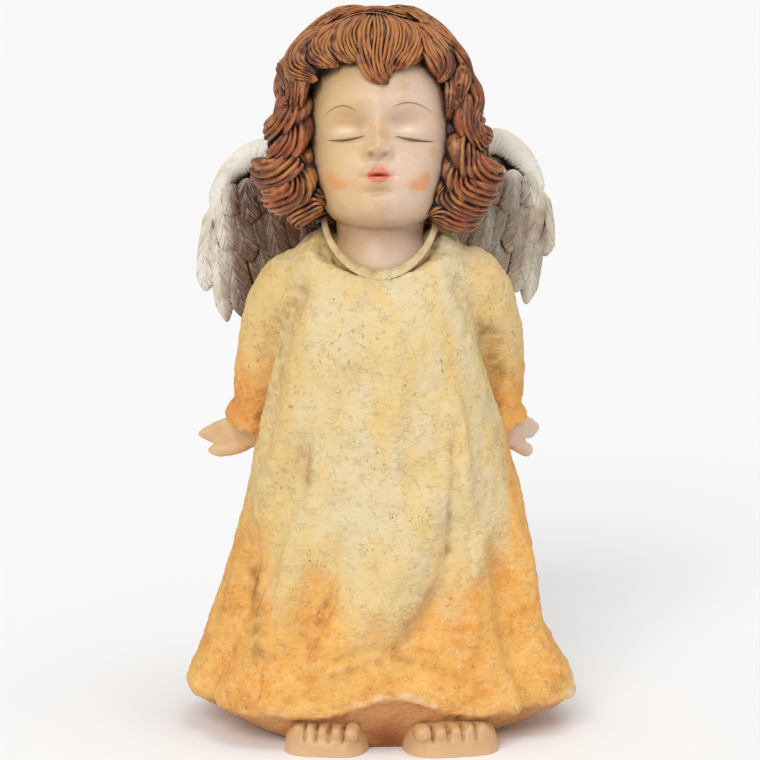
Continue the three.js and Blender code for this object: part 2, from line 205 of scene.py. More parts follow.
def fold_out(turn, z):
    out = np.zeros_like(z)
    for top, bottom, start, end, width, height in FRONT_FOLDS + BACK_FOLDS:
        share = (start - z) / (start - end)
        aside = (turn - between(top, bottom, np.clip(share, 0, 1)) + 540) % 360 - 180
        out += height * step(share, 0, 0.35) * (1 - step(share, 1, 1.25)) * hill(aside, width)
    return out


def robe_point(turn, z, scale=1.0):
    s, c = np.sin(np.radians(turn)), np.cos(np.radians(turn))
    x = np.sign(s) * np.abs(s) ** 0.9 * robe_side(z)
    y = -np.sign(c) * np.abs(c) ** 0.9 * np.where(np.abs(turn) < 90, robe_front(z), robe_back(z))
    grow = scale + fold_out(turn, z) / np.hypot(x, y)
    return columns(x * grow + robe_lean(z), y * grow, z)


def hem_height(turn):
    aside = np.abs(turn) / 90
    return 23 + 11 * hill(turn - 4, 13) + 3 * hill(aside - 1, 0.25) - 6 * step(aside, 1.1, 1.6)


# How far down the gown's outline its neckline, hem, turned-in edge and the flat below it lie
NECK, HEM, TURNED_IN, FLAT = 0.02, 0.8, 0.84, 0.94


def gown(angle, share):
    """From the neckline down to the hem, round its edge, in under it, and to the flat that it stands on"""
    turn = np.degrees(angle) - 180
    a = np.radians(turn)
    top = between(NECKLINE_BACK - 3, NECKLINE_FRONT, np.maximum(0, np.cos(a)) ** 1.3)
    hem = hem_height(turn)
    down = np.clip((share - NECK) / (HEM - NECK), 0, 1)
    points = robe_point(turn, between(top, hem, down**1.1))
    roll = np.clip((share - HEM) / (TURNED_IN - HEM), 0, 1)
    under = robe_point(turn, hem, 1 - 0.05 * roll**2)
    under[:, 2] -= 6 * np.sin(roll * pi / 2)
    ground = columns(64 * np.sin(a), -np.where(np.abs(turn) < 90, 54, 52) * np.cos(a), 0)
    inward = np.clip((share - TURNED_IN) / (FLAT - TURNED_IN), 0, 1)[:, None]
    slope = between(under, ground, inward)
    slope[:, 2] = (under[:, 2] * (1 - inward[:, 0]) ** 1.3) * (inward[:, 0] < 1)
    flat = ground * (1 - np.clip((share - FLAT) / (1 - FLAT), 0, 1))[:, None]
    points = np.where((share > HEM)[:, None], under, points)
    points = np.where((share > TURNED_IN)[:, None], slope, points)
    points = np.where((share > FLAT)[:, None], flat, points)
    points[share == 0] = (0, 0, NECKLINE_FRONT)
    return points, np.zeros_like(points)


SHOULDER = 252
SLEEVE_LINES = {
    -1: [(31, 0, 0), (48, 2, -9), (60, 9, -40), (66, 16, -74), (69, 19, -90)],
    1: [(33, 0, 1), (50, 2, -7), (61, 9, -40), (63.3, 16, -74), (64, 19, -87)],
}
sleeve_radius = through(
    [[0, 17], [0.3, 19.5], [0.5, 18.6], [0.72, 16.6], [0.78, 15.6], [0.88, 18.4], [0.95, 17], [1, 12]]
)

# Each crease round a sleeve: how far down it lies, how deep it is pressed in and its half width
SLEEVE_CREASES = [(0.42, 0.035, 0.07), (0.53, 0.03, 0.06), (0.63, 0.025, 0.06), (0.72, 0.03, 0.05)]


def backwards(points):
    return np.array([0, 1, 0])


def sleeve_line(side):
    return [(side * x, y, SHOULDER + z) for x, y, z in SLEEVE_LINES[side]]


def sleeve(side):
    def size(share):
        end = np.minimum(1, np.minimum((share / 0.1) ** 0.5, ((1 - share) / 0.05) ** 0.5))
        return sleeve_radius(share) * end, sleeve_radius(share) * 1.15 * end

    def creases(angle, share):
        slant = share + 0.07 * np.cos(angle + 1) + 0.02 * np.sin(3 * angle)
        return 1 - sum(depth * hill(slant - at, width) for at, depth, width in SLEEVE_CREASES)

    return tube("sleeve", robe_paint, sleeve_line(side), 72, 70, size, backwards, creases)


def melted(name, paint, meshes, cell, softness):
    """Runs the forms together as if modelled in one lump of clay: an even skin of the given cell size"""
    lump = bmesh.new()
    for mesh in meshes:
        lump.from_mesh(mesh)
    piece = bpy.data.objects.new(name, finished(name, paint, lump))
    bpy.context.scene.collection.objects.link(piece)
    remesh = piece.modifiers.new("skin", "REMESH")
    remesh.mode = "VOXEL"
    remesh.voxel_size = cell
    smooth = piece.modifiers.new("soften", "SMOOTH")
    smooth.iterations = softness
    return settled(piece, paint)


def settled(piece, *paints):
    """The piece's mesh with its modifiers applied; the piece itself goes"""
    evaluated = piece.evaluated_get(bpy.context.evaluated_depsgraph_get())
    mesh = bpy.data.meshes.new_from_object(evaluated)
    bpy.data.objects.remove(piece)
    if paints:
        mesh.materials.clear()
        for paint in paints:
            mesh.materials.append(paint)
    return mesh


def spots(mesh):
    found = np.empty(len(mesh.vertices) * 3, np.float32)
    mesh.vertices.foreach_get("co", found)
    return found.reshape(-1, 3).astype(float)


def normals(mesh):
    found = np.empty(len(mesh.vertices) * 3, np.float32)
    mesh.vertex_normals.foreach_get("vector", found)
    return found.reshape(-1, 3).astype(float)


def move(mesh, points):
    mesh.vertices.foreach_set("co", points.astype(np.float32).ravel())
    mesh.update()


def unevenness(points, size, seed, stretch=(1, 1, 1)):
    scaled = points / (size * np.array(stretch)) + seed * 17.3
    return np.array([noise.noise(point) for point in scaled.tolist()])


# Each crease of the robe's front: points of its line as seen from the front, across and up, how wide it
# is and how deep it is pressed in
CREASES = [
    ([(-44, 244), (-55, 217), (-60, 187), (-65, 160)], 5, 4.0),
    ([(43, 249), (48, 237), (56, 221), (61, 201), (66, 178)], 3.6, 4.0),
    ([(42, 178), (40, 150), (38, 120), (37, 108)], 2.2, 1.9),
    ([(-50, 160), (-56, 128), (-60, 96), (-62, 66)], 5, 3.0),
    ([(-38, 176), (-44, 150), (-50, 128)], 3.2, 1.8),
    ([(-26, 84), (-32, 70), (-36, 62)], 2.6, 2.2),
    ([(-24, 52), (-8, 56), (8, 56), (26, 52), (34, 44)], 2.6, 1.9),
    ([(4, 232), (6, 200), (8, 176)], 2.4, 1.0),
    ([(34, 84), (22, 66), (10, 58)], 5, 2.4),
    ([(62, 110), (70, 80), (74, 52)], 4.5, 2.0),
    ([(50, 104), (52, 80), (50, 60)], 4.0, -1.5),
]


def away_from(line, across, up):
    """How far each place is from a line of points"""
    nearest = np.full(across.shape, 1e9)
    for (x0, z0), (x1, z1) in zip(line, line[1:]):
        share = ((across - x0) * (x1 - x0) + (up - z0) * (z1 - z0)) / ((x1 - x0) ** 2 + (z1 - z0) ** 2)
        share = np.clip(share, 0, 1)
        nearest = np.minimum(nearest, np.hypot(across - x0 - share * (x1 - x0), up - z0 - share * (z1 - z0)))
    return nearest


def crusted(mesh):
    """Creases pressed into the cloth, and the lumps and trowel marks of its crust"""
    points, out = spots(mesh), normals(mesh)
    facing_us = step(-out[:, 1], 0.0, 0.35)
    depth = np.zeros(len(points))
    for line, width, press in CREASES:
        depth -= press * hill(away_from(line, points[:, 0], points[:, 2]), width) * facing_us
    lumps = 1.0 * unevenness(points, 15, 1) + 0.9 * unevenness(points, 7, 2, (1, 1, 1.4))
    lumps -= 1.1 * np.abs(unevenness(points, 4.2, 3, (1.3, 1.3, 0.8)))
    on_show = step(points[:, 2], 1, 8)
    points += out * ((depth + lumps) * on_show)[:, None]
    points[:, 2] = np.where(points[:, 2] < 0.9, 0, points[:, 2])
    move(mesh, points)
    return mesh


robe_paint = bpy.data.materials.new("robe_paint")
GOWN_CELL = 1.68
gown_form = form("gown", robe_paint, 220, 160, gown)
robe_mesh = crusted(melted("robe", robe_paint, [gown_form, sleeve(-1), sleeve(1)], GOWN_CELL, 3))


def neckline_height(ahead):
    return between(NECKLINE_BACK, NECKLINE_FRONT, np.maximum(0, -ahead) ** 1.3)


collar = bmesh.new()
upright = Matrix.Translation((30, 0, 0)) @ Matrix.Rotation(pi / 2, 4, "X")
bmesh.ops.create_circle(collar, segments=12, radius=1.7, matrix=upright)
around_neck = {"axis": (0, 0, 1), "cent": (0, 0, 0), "steps": 120, "angle": 2 * pi}
bmesh.ops.spin(collar, geom=collar.edges[:] + collar.verts[:], use_merge=True, **around_neck)
for vert in collar.verts:
    ahead = vert.co.y / 30
    vert.co.y = -6 + 33 * ahead
    vert.co.z += neckline_height(ahead)
bmesh.ops.remove_doubles(collar, verts=collar.verts, dist=1e-4)
bmesh.ops.recalc_face_normals(collar, faces=collar.faces)
neckline = finished("neckline", robe_paint, collar)


class Paint:
    """The nodes of one paint; each call adds a node and gives its output"""

    def __init__(self, tree):
        self.tree = tree

    def node(self, kind, inputs, output=0, **settings):
        made = self.tree.nodes.new("ShaderNode" + kind)
        for name, value in settings.items():
            setattr(made, name, value)
        for key, value in inputs.items():
            if isinstance(value, bpy.types.NodeSocket):
                self.tree.links.new(value, made.inputs[key])
            else:
                made.inputs[key].default_value = value
        return made.outputs[output]

    def split(self, vector):
        node = self.tree.nodes.new("ShaderNodeSeparateXYZ")
        self.tree.links.new(vector, node.inputs[0])
        return node.outputs

    def millimetres(self):
        metres = self.node("TexCoord", {}, "Object")
        return self.node("VectorMath", {0: metres, "Scale": 1000}, operation="SCALE")

    def math(self, operation, a, b=0.0, clamp=False):
        return self.node("Math", {0: a, 1: b}, operation=operation, use_clamp=clamp)

    def ramp(self, value, start, end, top=1.0):
        return self.node("MapRange", {0: value, 1: start, 2: end, 4: top}, interpolation_type="SMOOTHSTEP")

    def mix(self, share, a, b, kind="MIX"):
        return self.node("Mix", {0: share, 6: a, 7: b}, 2, data_type="RGBA", blend_type=kind)

    def stretched(self, where, *sizes):
        scale = tuple(1 / size for size in sizes)
        return self.node("VectorMath", {0: where, 1: scale}, operation="MULTIPLY")

    def clouds(self, where, size, detail=2.0, seed=0.0):
        shape = {"Vector": where, "W": seed, "Scale": 1 / size, "Detail": detail}
        return self.node("TexNoise", shape, noise_dimensions="4D")

    def attribute(self, name, output="Fac"):
        return self.node("Attribute", {}, output, attribute_name=name)


def shade(red, green, blue):
    """A paint as its red, green and blue out of 255"""
    linear = [((c / 255 + 0.055) / 1.055) ** 2.4 if c > 10 else c / 3294 for c in (red, green, blue)]
    return (*linear, 1)


# The dark wash that ran into the hollows, with painted shade there too, and the pale dry brushing over
# whatever stands out
wash_shade_and_brush = bpy.data.node_groups.new("wash_shade_and_dry_brush", "ShaderNodeTree")
for name, kind in {
    "Colour": "NodeSocketColor",
    "Wash And Shade": "NodeSocketColor",
    "Brushed": "NodeSocketColor",
    "Wash From": "NodeSocketFloat",
    "Wash To": "NodeSocketFloat",
    "Brush From": "NodeSocketFloat",
    "Brush To": "NodeSocketFloat",
    "Brush Most": "NodeSocketFloat",
}.items():
    wash_shade_and_brush.interface.new_socket(name, in_out="INPUT", socket_type=kind)
wash_shade_and_brush.interface.new_socket("Colour", in_out="OUTPUT", socket_type="NodeSocketColor")
wash = Paint(wash_shade_and_brush)
given = wash.tree.nodes.new("NodeGroupInput").outputs
result = wash.tree.nodes.new("NodeGroupOutput").inputs
ragged = wash.math("SUBTRACT", wash.clouds(wash.millimetres(), 3.0, 3), 0.5)
standing_out = wash.attribute("rise")
# Painted shade and wash: darker where nearby parts shelter a point
hollow_shade = wash.math("SUBTRACT", wash.attribute("shelter"), wash.math("MULTIPLY", standing_out, 0.16))
hollow_shade = wash.math("ADD", hollow_shade, wash.math("MULTIPLY", ragged, 0.35))
hollow_shade = wash.ramp(hollow_shade, given["Wash From"], given["Wash To"])
raised = wash.math("ADD", standing_out, wash.math("MULTIPLY", ragged, 1.6))
raised = wash.ramp(raised, given["Brush From"], given["Brush To"], given["Brush Most"])
washed = wash.mix(hollow_shade, given["Colour"], given["Wash And Shade"])
wash.tree.links.new(wash.mix(raised, washed, given["Brushed"]), result["Colour"])


def washed_shaded_and_brushed(paint, colour, wash_and_shade, brushed, wash_and_shade_range, brush_range, brush_most):
    group = paint.tree.nodes.new("ShaderNodeGroup")
    group.node_tree = wash_shade_and_brush
    paint.tree.links.new(colour, group.inputs["Colour"])
    group.inputs["Wash And Shade"].default_value = wash_and_shade
    group.inputs["Brushed"].default_value = brushed
    group.inputs["Wash From"].default_value, group.inputs["Wash To"].default_value = wash_and_shade_range
    group.inputs["Brush From"].default_value, group.inputs["Brush To"].default_value = brush_range
    group.inputs["Brush Most"].default_value = brush_most
    return group.outputs["Colour"]


def painted(material):
    material.use_nodes = True
    paint = Paint(material.node_tree)
    return paint, material.node_tree.nodes["Principled BSDF"].inputs


robe, surface = painted(robe_paint)
mm = robe.millimetres()
CREAM, STRAW, YELLOW = shade(223, 204, 162), shade(225, 197, 140), shade(227, 192, 118)
colour = robe.mix(robe.ramp(robe.clouds(robe.stretched(mm, 1, 1, 2.8), 17, 4, 1), 0.4, 0.62), CREAM, STRAW)
yellowed = robe.ramp(robe.clouds(robe.stretched(mm, 1, 1, 2.2), 12, 5, 2), 0.46, 0.68, 0.55)
colour = robe.mix(yellowed, colour, YELLOW)
tanned = robe.ramp(robe.clouds(robe.stretched(mm, 1, 1, 1.6), 22, 5, 3), 0.52, 0.72, 0.5)
colour = robe.mix(tanned, colour, shade(208, 172, 122))
to_left, _, height_up = robe.split(mm)
drift = robe.math("MULTIPLY", robe.math("SUBTRACT", robe.clouds(mm, 12, 4, 14), 0.5), 60)
leftward = robe.ramp(robe.math("ADD", to_left, drift), -12, -62, 0.55)
colour = robe.mix(leftward, colour, shade(228, 192, 116))
lower = robe.ramp(robe.math("ADD", height_up, drift), 130, 85, 0.5)
colour = robe.mix(lower, colour, shade(226, 192, 128))
colour = robe.mix(robe.math("MULTIPLY", robe.attribute("sleeve"), 0.6), colour, shade(220, 184, 118))
edge = robe.math("SUBTRACT", robe.clouds(mm, 13, 5, 4), 0.5)
orange = robe.math("ADD", robe.attribute("orange"), robe.math("MULTIPLY", edge, 55))
orange = robe.ramp(orange, -20, 18)
ORANGE, DEEP_ORANGE, PEACH = shade(234, 176, 90), shade(226, 156, 72), shade(236, 190, 122)
oranges = robe.mix(robe.ramp(robe.clouds(mm, 18, 4, 5), 0.42, 0.62), ORANGE, DEEP_ORANGE)
oranges = robe.mix(robe.ramp(robe.clouds(mm, 5, 5, 6), 0.48, 0.68, 0.6), oranges, PEACH)
colour = robe.mix(orange, colour, oranges)
colour = robe.mix(robe.attribute("cuff"), colour, shade(222, 146, 66))
warped = robe.node("TexNoise", {"Vector": mm, "Scale": 0.35, "Detail": 3}, "Color")
warped = robe.node("VectorMath", {0: warped, "Scale": 5}, operation="SCALE")
cells_at = robe.stretched(robe.node("VectorMath", {0: mm, 1: warped}), 4.6, 4.6, 2.8)
crack = robe.node("TexVoronoi", {"Vector": cells_at, "Scale": 1}, feature="DISTANCE_TO_EDGE")
crackled = robe.ramp(robe.clouds(mm, 4.5, 3, 7), 0.5, 0.6)
crack_line = robe.math("MULTIPLY", robe.ramp(crack, 0.1, 0.0), crackled)
colour = robe.mix(robe.math("MULTIPLY", crack_line, 0.12), colour, shade(168, 136, 86))
pits = robe.ramp(robe.clouds(robe.stretched(mm, 1, 1, 1.5), 2.0, 3, 8), 0.62, 0.7)
pitted = robe.math("MULTIPLY", pits, robe.ramp(robe.clouds(mm, 18, 3, 9), 0.5, 0.62))
colour = robe.mix(robe.math("MULTIPLY", pitted, 0.5), colour, shade(146, 108, 58))
fleck = robe.ramp(robe.clouds(mm, 2.4, 4, 10), 0.56, 0.72, 0.3)
colour = robe.mix(fleck, colour, shade(233, 212, 172))
# Brown dirt on the front, with painted shade along its creases, and a dark ring round the neckline
ragged = robe.math("MULTIPLY", robe.ramp(robe.clouds(mm, 6, 6, 13), 0.3, 0.66), robe.attribute("soiled_and_shaded"))
colour = robe.mix(ragged, colour, shade(150, 106, 52))
# Painted shade on the wall under the hem
colour = robe.mix(robe.attribute("under"), colour, shade(200, 142, 88))
# Painted shade in the hollow between the feet
colour = robe.mix(robe.attribute("recess_shade"), colour, shade(138, 68, 26))
worn = robe.math("MULTIPLY", robe.attribute("worn"), robe.ramp(robe.clouds(mm, 5, 3, 11), 0.4, 0.58))
colour = robe.mix(worn, colour, shade(236, 222, 200))
# Brown wash and painted shade in the sheltered hollows, pale dry brushing on what stands out
BROWN_WASH_AND_SHADE, DRY_BRUSH = shade(140, 98, 54), shade(234, 214, 170)
colour = washed_shaded_and_brushed(robe, colour, BROWN_WASH_AND_SHADE, DRY_BRUSH, (0.3, 0.9), (0.6, 2.4), 0.5)
robe.tree.links.new(colour, surface["Base Color"])
surface["Roughness"].default_value = 0.8
trowelled = robe.clouds(robe.stretched(mm, 1.6, 1.6, 0.9), 2.2, 5, 12)
height = robe.math("SUBTRACT", trowelled, robe.math("MULTIPLY", crack_line, 0.2))
height = robe.math("SUBTRACT", height, robe.math("MULTIPLY", pitted, 0.5))
bump = robe.node("Bump", {"Height": height, "Distance": 0.0013, "Strength": 0.9})
robe.tree.links.new(bump, surface["Normal"])


# Head and neck: a doll-like child's head of the same resin, cast with the neck that runs into the gown. It
# looks up a little, smooth under a thin satin paint, with blush, lips, brows and lashes brushed on
HEAD_CENTRE = np.array([0, 3, 330])
HEAD_TILT = radians(13)
FACE_MIDDLE = -1
CENTRING = 3
head_side = through(
    [[-58, 0], [-54, 17], [-47, 27], [-36, 33], [-23, 38], [0, 39.5], [22, 37.5], [40, 25], [52, 0]]
)
head_front = through(
    [[-58, 6], [-54, 21], [-48, 31.5], [-38, 37], [-12, 39.5], [8, 42], [24, 41], [40, 28], [52, 0]]
)
head_back = through([[-58, 0], [-30, 24], [-10, 38], [12, 43], [34, 34], [52, 0]])
head_rows = through([[0, -58], [0.05, -56], [0.14, -46], [0.66, -2], [0.84, 22], [1, 52]])

# Each feature of the face: across, up, half width, half height, how far it stands out
FACE_FORMS = [
    (0, -47.5, 11, 7, 3.4),
    (0, -38.5, 9, 2.6, -1.8),
    (22, -27, 11, 12, 2.8),
    (0, -27.8, 6.6, 3.2, 4.2),
    (0, -32.6, 5.2, 2.6, 4.0),
    (0, -30.2, 6.2, 0.8, -3.2),
    (7.8, -30, 1.8, 2.0, -1.5),
    (0, -24, 1.4, 2.0, -1.0),
    (0, -15.6, 4.8, 4.2, 8.4),
    (0, -8, 3.4, 5, 3.2),
    (5.6, -18.2, 2.4, 2.6, 3.9),
    (3.6, -19.4, 1.9, 1.1, -2.8),
    (9, -19, 1.3, 3, -0.8),
    (0, 0, 4.5, 9, 2.4),
    (15.5, -0.5, 10, 6.5, -6.0),
    (17.8, -5.8, 9.2, 4.8, 6.6),
    (17.8, -11.4, 9.5, 1.0, -2.0),
    (17.5, -14, 9, 2, 0.6),
    (17, 9, 12, 4, 1.6),
    (0, -58, 16, 5, 2.0),
]


def face_out(x, z):
    out = np.zeros_like(x)
    for aside, up, wide, high, stands in FACE_FORMS:
        for middle in {FACE_MIDDLE - aside, FACE_MIDDLE + aside}:
            out += stands * np.exp(-(((x - middle) / wide) ** 2) - ((z - up) / high) ** 2)
    return out


def from_head_frame(points):
    c, s = cos(HEAD_TILT), sin(HEAD_TILT)
    x, y, z = points.T
    return columns(x, c * y + s * z, -s * y + c * z) + HEAD_CENTRE


def to_head_frame(points):
    c, s = cos(HEAD_TILT), sin(HEAD_TILT)
    x, y, z = (points - HEAD_CENTRE).T
    return columns(x, c * y - s * z, s * y + c * z)


def head_place(angle, share):
    z = head_rows(share)
    turn = angle - pi
    turn = turn - 0.55 * np.sin(turn)
    pole = (share == 0) | (share == 1)
    depth = np.where(np.abs(turn) < pi / 2, head_front(z), head_back(z)) * ~pole
    x = np.where(pole, 0, head_side(z)) * np.sin(turn)
    y = -depth * np.cos(turn)
    y -= np.where(y < 0, face_out(x, z) * step(-y, 8, 24), 0)
    points = from_head_frame(columns(x, y, z))
    return points, np.zeros_like(points)


skin_paint = bpy.data.materials.new("skin_paint")
head_mesh = form("head", skin_paint, 150, 140, head_place)
neck_radius = through([[0, 29], [0.25, 28], [0.5, 23.8], [0.75, 24], [1, 26]])


def neck_size(share):
    end = np.minimum(1, np.minimum((share / 0.08) ** 0.5, ((1 - share) / 0.1) ** 0.5))
    return neck_radius(share) * end, neck_radius(share) * end


NECK_LINE = [(0, -6, 244), (0, -5, 262), (0, 0, 276), (0, -1, 306)]
neck_mesh = tube("neck", skin_paint, NECK_LINE, 72, 30, neck_size, backwards)
MOUTH_HEIGHT, MOUTH_HALF_WIDTH = -30.2, 6.8


def face_paint(points):
    """Where the face's colours lie: its lips, their parting, the blush, the painted highlight on the lids
    and the painted shade
    """
    x, y, z = to_head_frame(points).T
    x = x - FACE_MIDDLE
    front = step(-y, 20, 30)
    side = np.abs(x)
    out = np.clip(side / MOUTH_HALF_WIDTH, 0, 1)
    top = MOUTH_HEIGHT + 4.9 * (1 - out**1.7) - 1.3 * hill(x, 1.5)
    bottom = MOUTH_HEIGHT - 4.2 * np.sqrt(1 - np.clip(side / (MOUTH_HALF_WIDTH - 1), 0, 1) ** 2)
    lips = step(top - z, -0.5, 0.5) * step(z - bottom, -0.5, 0.5) * (side < MOUTH_HALF_WIDTH)
    parting = hill(z - MOUTH_HEIGHT, 0.9) * step(MOUTH_HALF_WIDTH - side, 0, 2.5)
    parting = parting * (0.5 + 0.5 * hill(x, 2.5))
    blush = 0.9 * hill(side - 20, 7) * hill(z + 34.5, 4) + hill(side - 25.5, 3.4) * hill(z + 31, 6)
    # Painted highlight on the bulging lids
    lid_highlight = hill(side - 18.5, 7.5) * hill(z + 6.5, 3.4)
    # Painted shade: by the nostrils, under the nose and the lower lip, in the eye sockets, under the fringe
    # and under the chin
    nostrils = 0.42 * hill(side - 4, 1.7) * hill(z + 19.6 - 0.2 * side, 1.0)
    below_nose = 0.34 * hill(x, 6.5) * hill(z + 20.8, 1.7) + 0.34 * hill(x, 8.5) * hill(z + 37.6, 2.1)
    sockets = 0.28 * hill(side - 9, 4) * hill(z + 3.5, 6) + 0.22 * hill(side - 18, 10) * hill(z - 0.5, 2.8)
    sockets = sockets + 0.1 * step(z, 6, 22)
    below_chin = 0.34 * step(289 - points[:, 2], 0, 14) * step(points[:, 2], 258, 274)
    return {
        "lips": lips * front,
        "parting": parting * front,
        "blush": np.clip(blush, 0, 1) * front,
        "lid_highlight": lid_highlight * front,
        "painted_shade": np.clip(nostrils + below_nose + sockets, 0, 1) * front + below_chin,
    }


skin, surface = painted(skin_paint)
mm = skin.millimetres()
head_at = -(Matrix.Rotation(HEAD_TILT, 3, "X") @ (Vector(HEAD_CENTRE) + Vector((0, CENTRING, 0))))
in_head = skin.node("Mapping", {"Vector": mm, "Rotation": (HEAD_TILT, 0, 0), "Location": head_at})
across, inward, upward = skin.split(in_head)
IVORY, PINK, TAN = shade(217, 180, 132), shade(222, 192, 168), shade(206, 160, 112)
drifting = skin.math("MULTIPLY", skin.math("SUBTRACT", skin.clouds(mm, 20, 2, 20), 0.5), 70)
# Paler and pinker towards the figure's left hand side: partly the paint's own tone, partly painted light
colour = skin.mix(skin.ramp(skin.math("ADD", across, drifting), -20, 16), IVORY, PINK)
colour = skin.mix(skin.ramp(skin.clouds(mm, 14, 3, 21), 0.52, 0.7, 0.5), colour, TAN)
colour = skin.mix(skin.ramp(skin.clouds(mm, 5, 3, 22), 0.5, 0.75, 0.35), colour, shade(214, 178, 128))
above_ground = skin.split(mm)[2]
colour = skin.mix(skin.ramp(above_ground, 42, 30), colour, shade(206, 162, 112))
colour = skin.mix(skin.ramp(above_ground, 8, 0, 0.7), colour, shade(214, 178, 140))
uneven = skin.math("MULTIPLY", skin.math("SUBTRACT", skin.clouds(mm, 5, 3, 23), 0.5), 0.7)
blushing = skin.ramp(skin.math("ADD", skin.attribute("blush"), uneven), 0.1, 1.25, 0.85)
colour = skin.mix(blushing, colour, shade(228, 146, 78))
# Painted highlight on the lids
colour = skin.mix(skin.math("MULTIPLY", skin.attribute("lid_highlight"), 0.7), colour, shade(238, 214, 186))
colour = skin.mix(skin.attribute("lips"), colour, shade(224, 132, 106))
colour = skin.mix(skin.attribute("parting"), colour, shade(160, 60, 46))
# Painted shade round the nose, mouth, eyes, forehead and chin, and between the toes
colour = skin.mix(skin.attribute("painted_shade"), colour, shade(118, 72, 40))


def brushed_line(middle, half, peak, height, bend, width):
    """A line drawn on the face with a fine brush, thinning out at its ends"""
    aside = skin.math("SUBTRACT", across, peak)
    line = skin.math("ADD", height, skin.math("MULTIPLY", bend, skin.math("MULTIPLY", aside, aside)))
    off = skin.math("ABSOLUTE", skin.math("SUBTRACT", upward, line))
    along = skin.math("DIVIDE", skin.math("SUBTRACT", across, middle), half)
    thinning = skin.math("SUBTRACT", 1, skin.math("MULTIPLY", along, along), clamp=True)
    reach = skin.math("MULTIPLY", skin.math("SQRT", thinning), width)
    return skin.ramp(off, reach, skin.math("MULTIPLY", reach, 0.3))


in_front = skin.ramp(inward, -15, -22)
BROW, LASH = shade(140, 104, 72), shade(96, 62, 42)
for line, ink in [
    ((-21.4, 8.8, -20.5, 7.2, -0.05, 0.6), BROW),
    ((16.9, 10.8, 16, 8.4, -0.03, 0.6), BROW),
    ((-17.5, 9.8, -20, -11.1, 0.013, 0.9), LASH),
    ((18.2, 10.4, 22, -11.2, 0.009, 0.95), LASH),
]:
    drawn = skin.math("MULTIPLY", brushed_line(*line), in_front)
    colour = skin.mix(skin.math("MULTIPLY", drawn, 0.85), colour, ink)
# Brown wash and painted shade in the hollows, pale dry brushing on what stands out
colour = washed_shaded_and_brushed(skin, colour, shade(140, 84, 48), shade(236, 212, 182), (0.5, 1.05), (1.2, 3.0), 0.35)
skin.tree.links.new(colour, surface["Base Color"])
surface["Roughness"].default_value = 0.42
surface["Coat Weight"].default_value = 0.12
surface["Coat Roughness"].default_value = 0.35
bump = skin.node("Bump", {"Height": skin.clouds(mm, 4, 3, 24), "Distance": 0.0002, "Strength": 0.5})
skin.tree.links.new(bump, surface["Normal"])


# Hair: a cap combed out from the crown, with locks laid over it that end in a fringe in front, in curls
# beside the face and in ringlets behind. Each lock is carved with strands, and all are cast with the head
HAIR_CENTRE = np.array([-2, 9, 343])


def direction(azimuth, polar):
    a, p = np.radians(azimuth), np.radians(polar)
    return columns(np.sin(p) * np.sin(a), -np.sin(p) * np.cos(a), np.cos(p))


def on_cap(toward, lift):
    deep = np.where(toward[..., 1] < 0, 43.5, 50)
    polar = np.degrees(np.arccos(np.clip(toward[..., 2] / np.linalg.norm(toward, axis=-1), -1, 1)))
    fuller = (1 - 0.02 * hill(polar - 38, 16))[..., None]
    return toward * (columns(48, deep, 49.2) * fuller + lift[..., None]) + HAIR_CENTRE


def from_crown(points):
    return points - HAIR_CENTRE


def hair_cap(angle, share):
    azimuth = np.degrees(angle) - 180
    polar = between(54, 112, step(np.abs(azimuth), 42, 95)) * np.minimum(share / 0.9, 1)
    points = on_cap(direction(azimuth, polar), np.full(len(angle), -1.5))
    points = between(points, HAIR_CENTRE, np.clip((share - 0.9) / 0.1, 0, 1)[:, None])
    return points, columns(50 * angle, polar, 0)


def tapered(width, thickness, blunt, tip):
    def size(share):
        fullness = np.minimum(1, np.minimum((share / blunt) ** 0.5, ((1 - share) / tip) ** 0.6))
        return width * fullness, thickness * fullness

    return size


def strands(count, depth, phase=0.0):
    """Ridges along the outer side of a lock, with sharp grooves between them"""

    def bulge(angle, share):
        waver = 0.1 * np.sin(6 * share + phase) + 0.05 * np.sin(15 * share + 2 * phase)
        ridge = np.abs(np.cos(pi / 2 * count * (np.cos(angle) + waver))) ** 0.8
        return 1 + depth * (ridge - 0.5) * step(np.sin(angle), -0.2, 0.3)

    return bulge


def lock(name, line, half_width, thickness, count, around, along, number, tip=0.3):
    shape = tapered(half_width, thickness, 0.2, tip)
    ridges = strands(count, 0.34, number)
    return tube(name, hair_paint, line, around, along, shape, from_crown, ridges, crowd=0.55, number=number)


hair_paint = bpy.data.materials.new("hair_paint")
hair_forms = [form("hair_cap", hair_paint, 96, 24, hair_cap)]

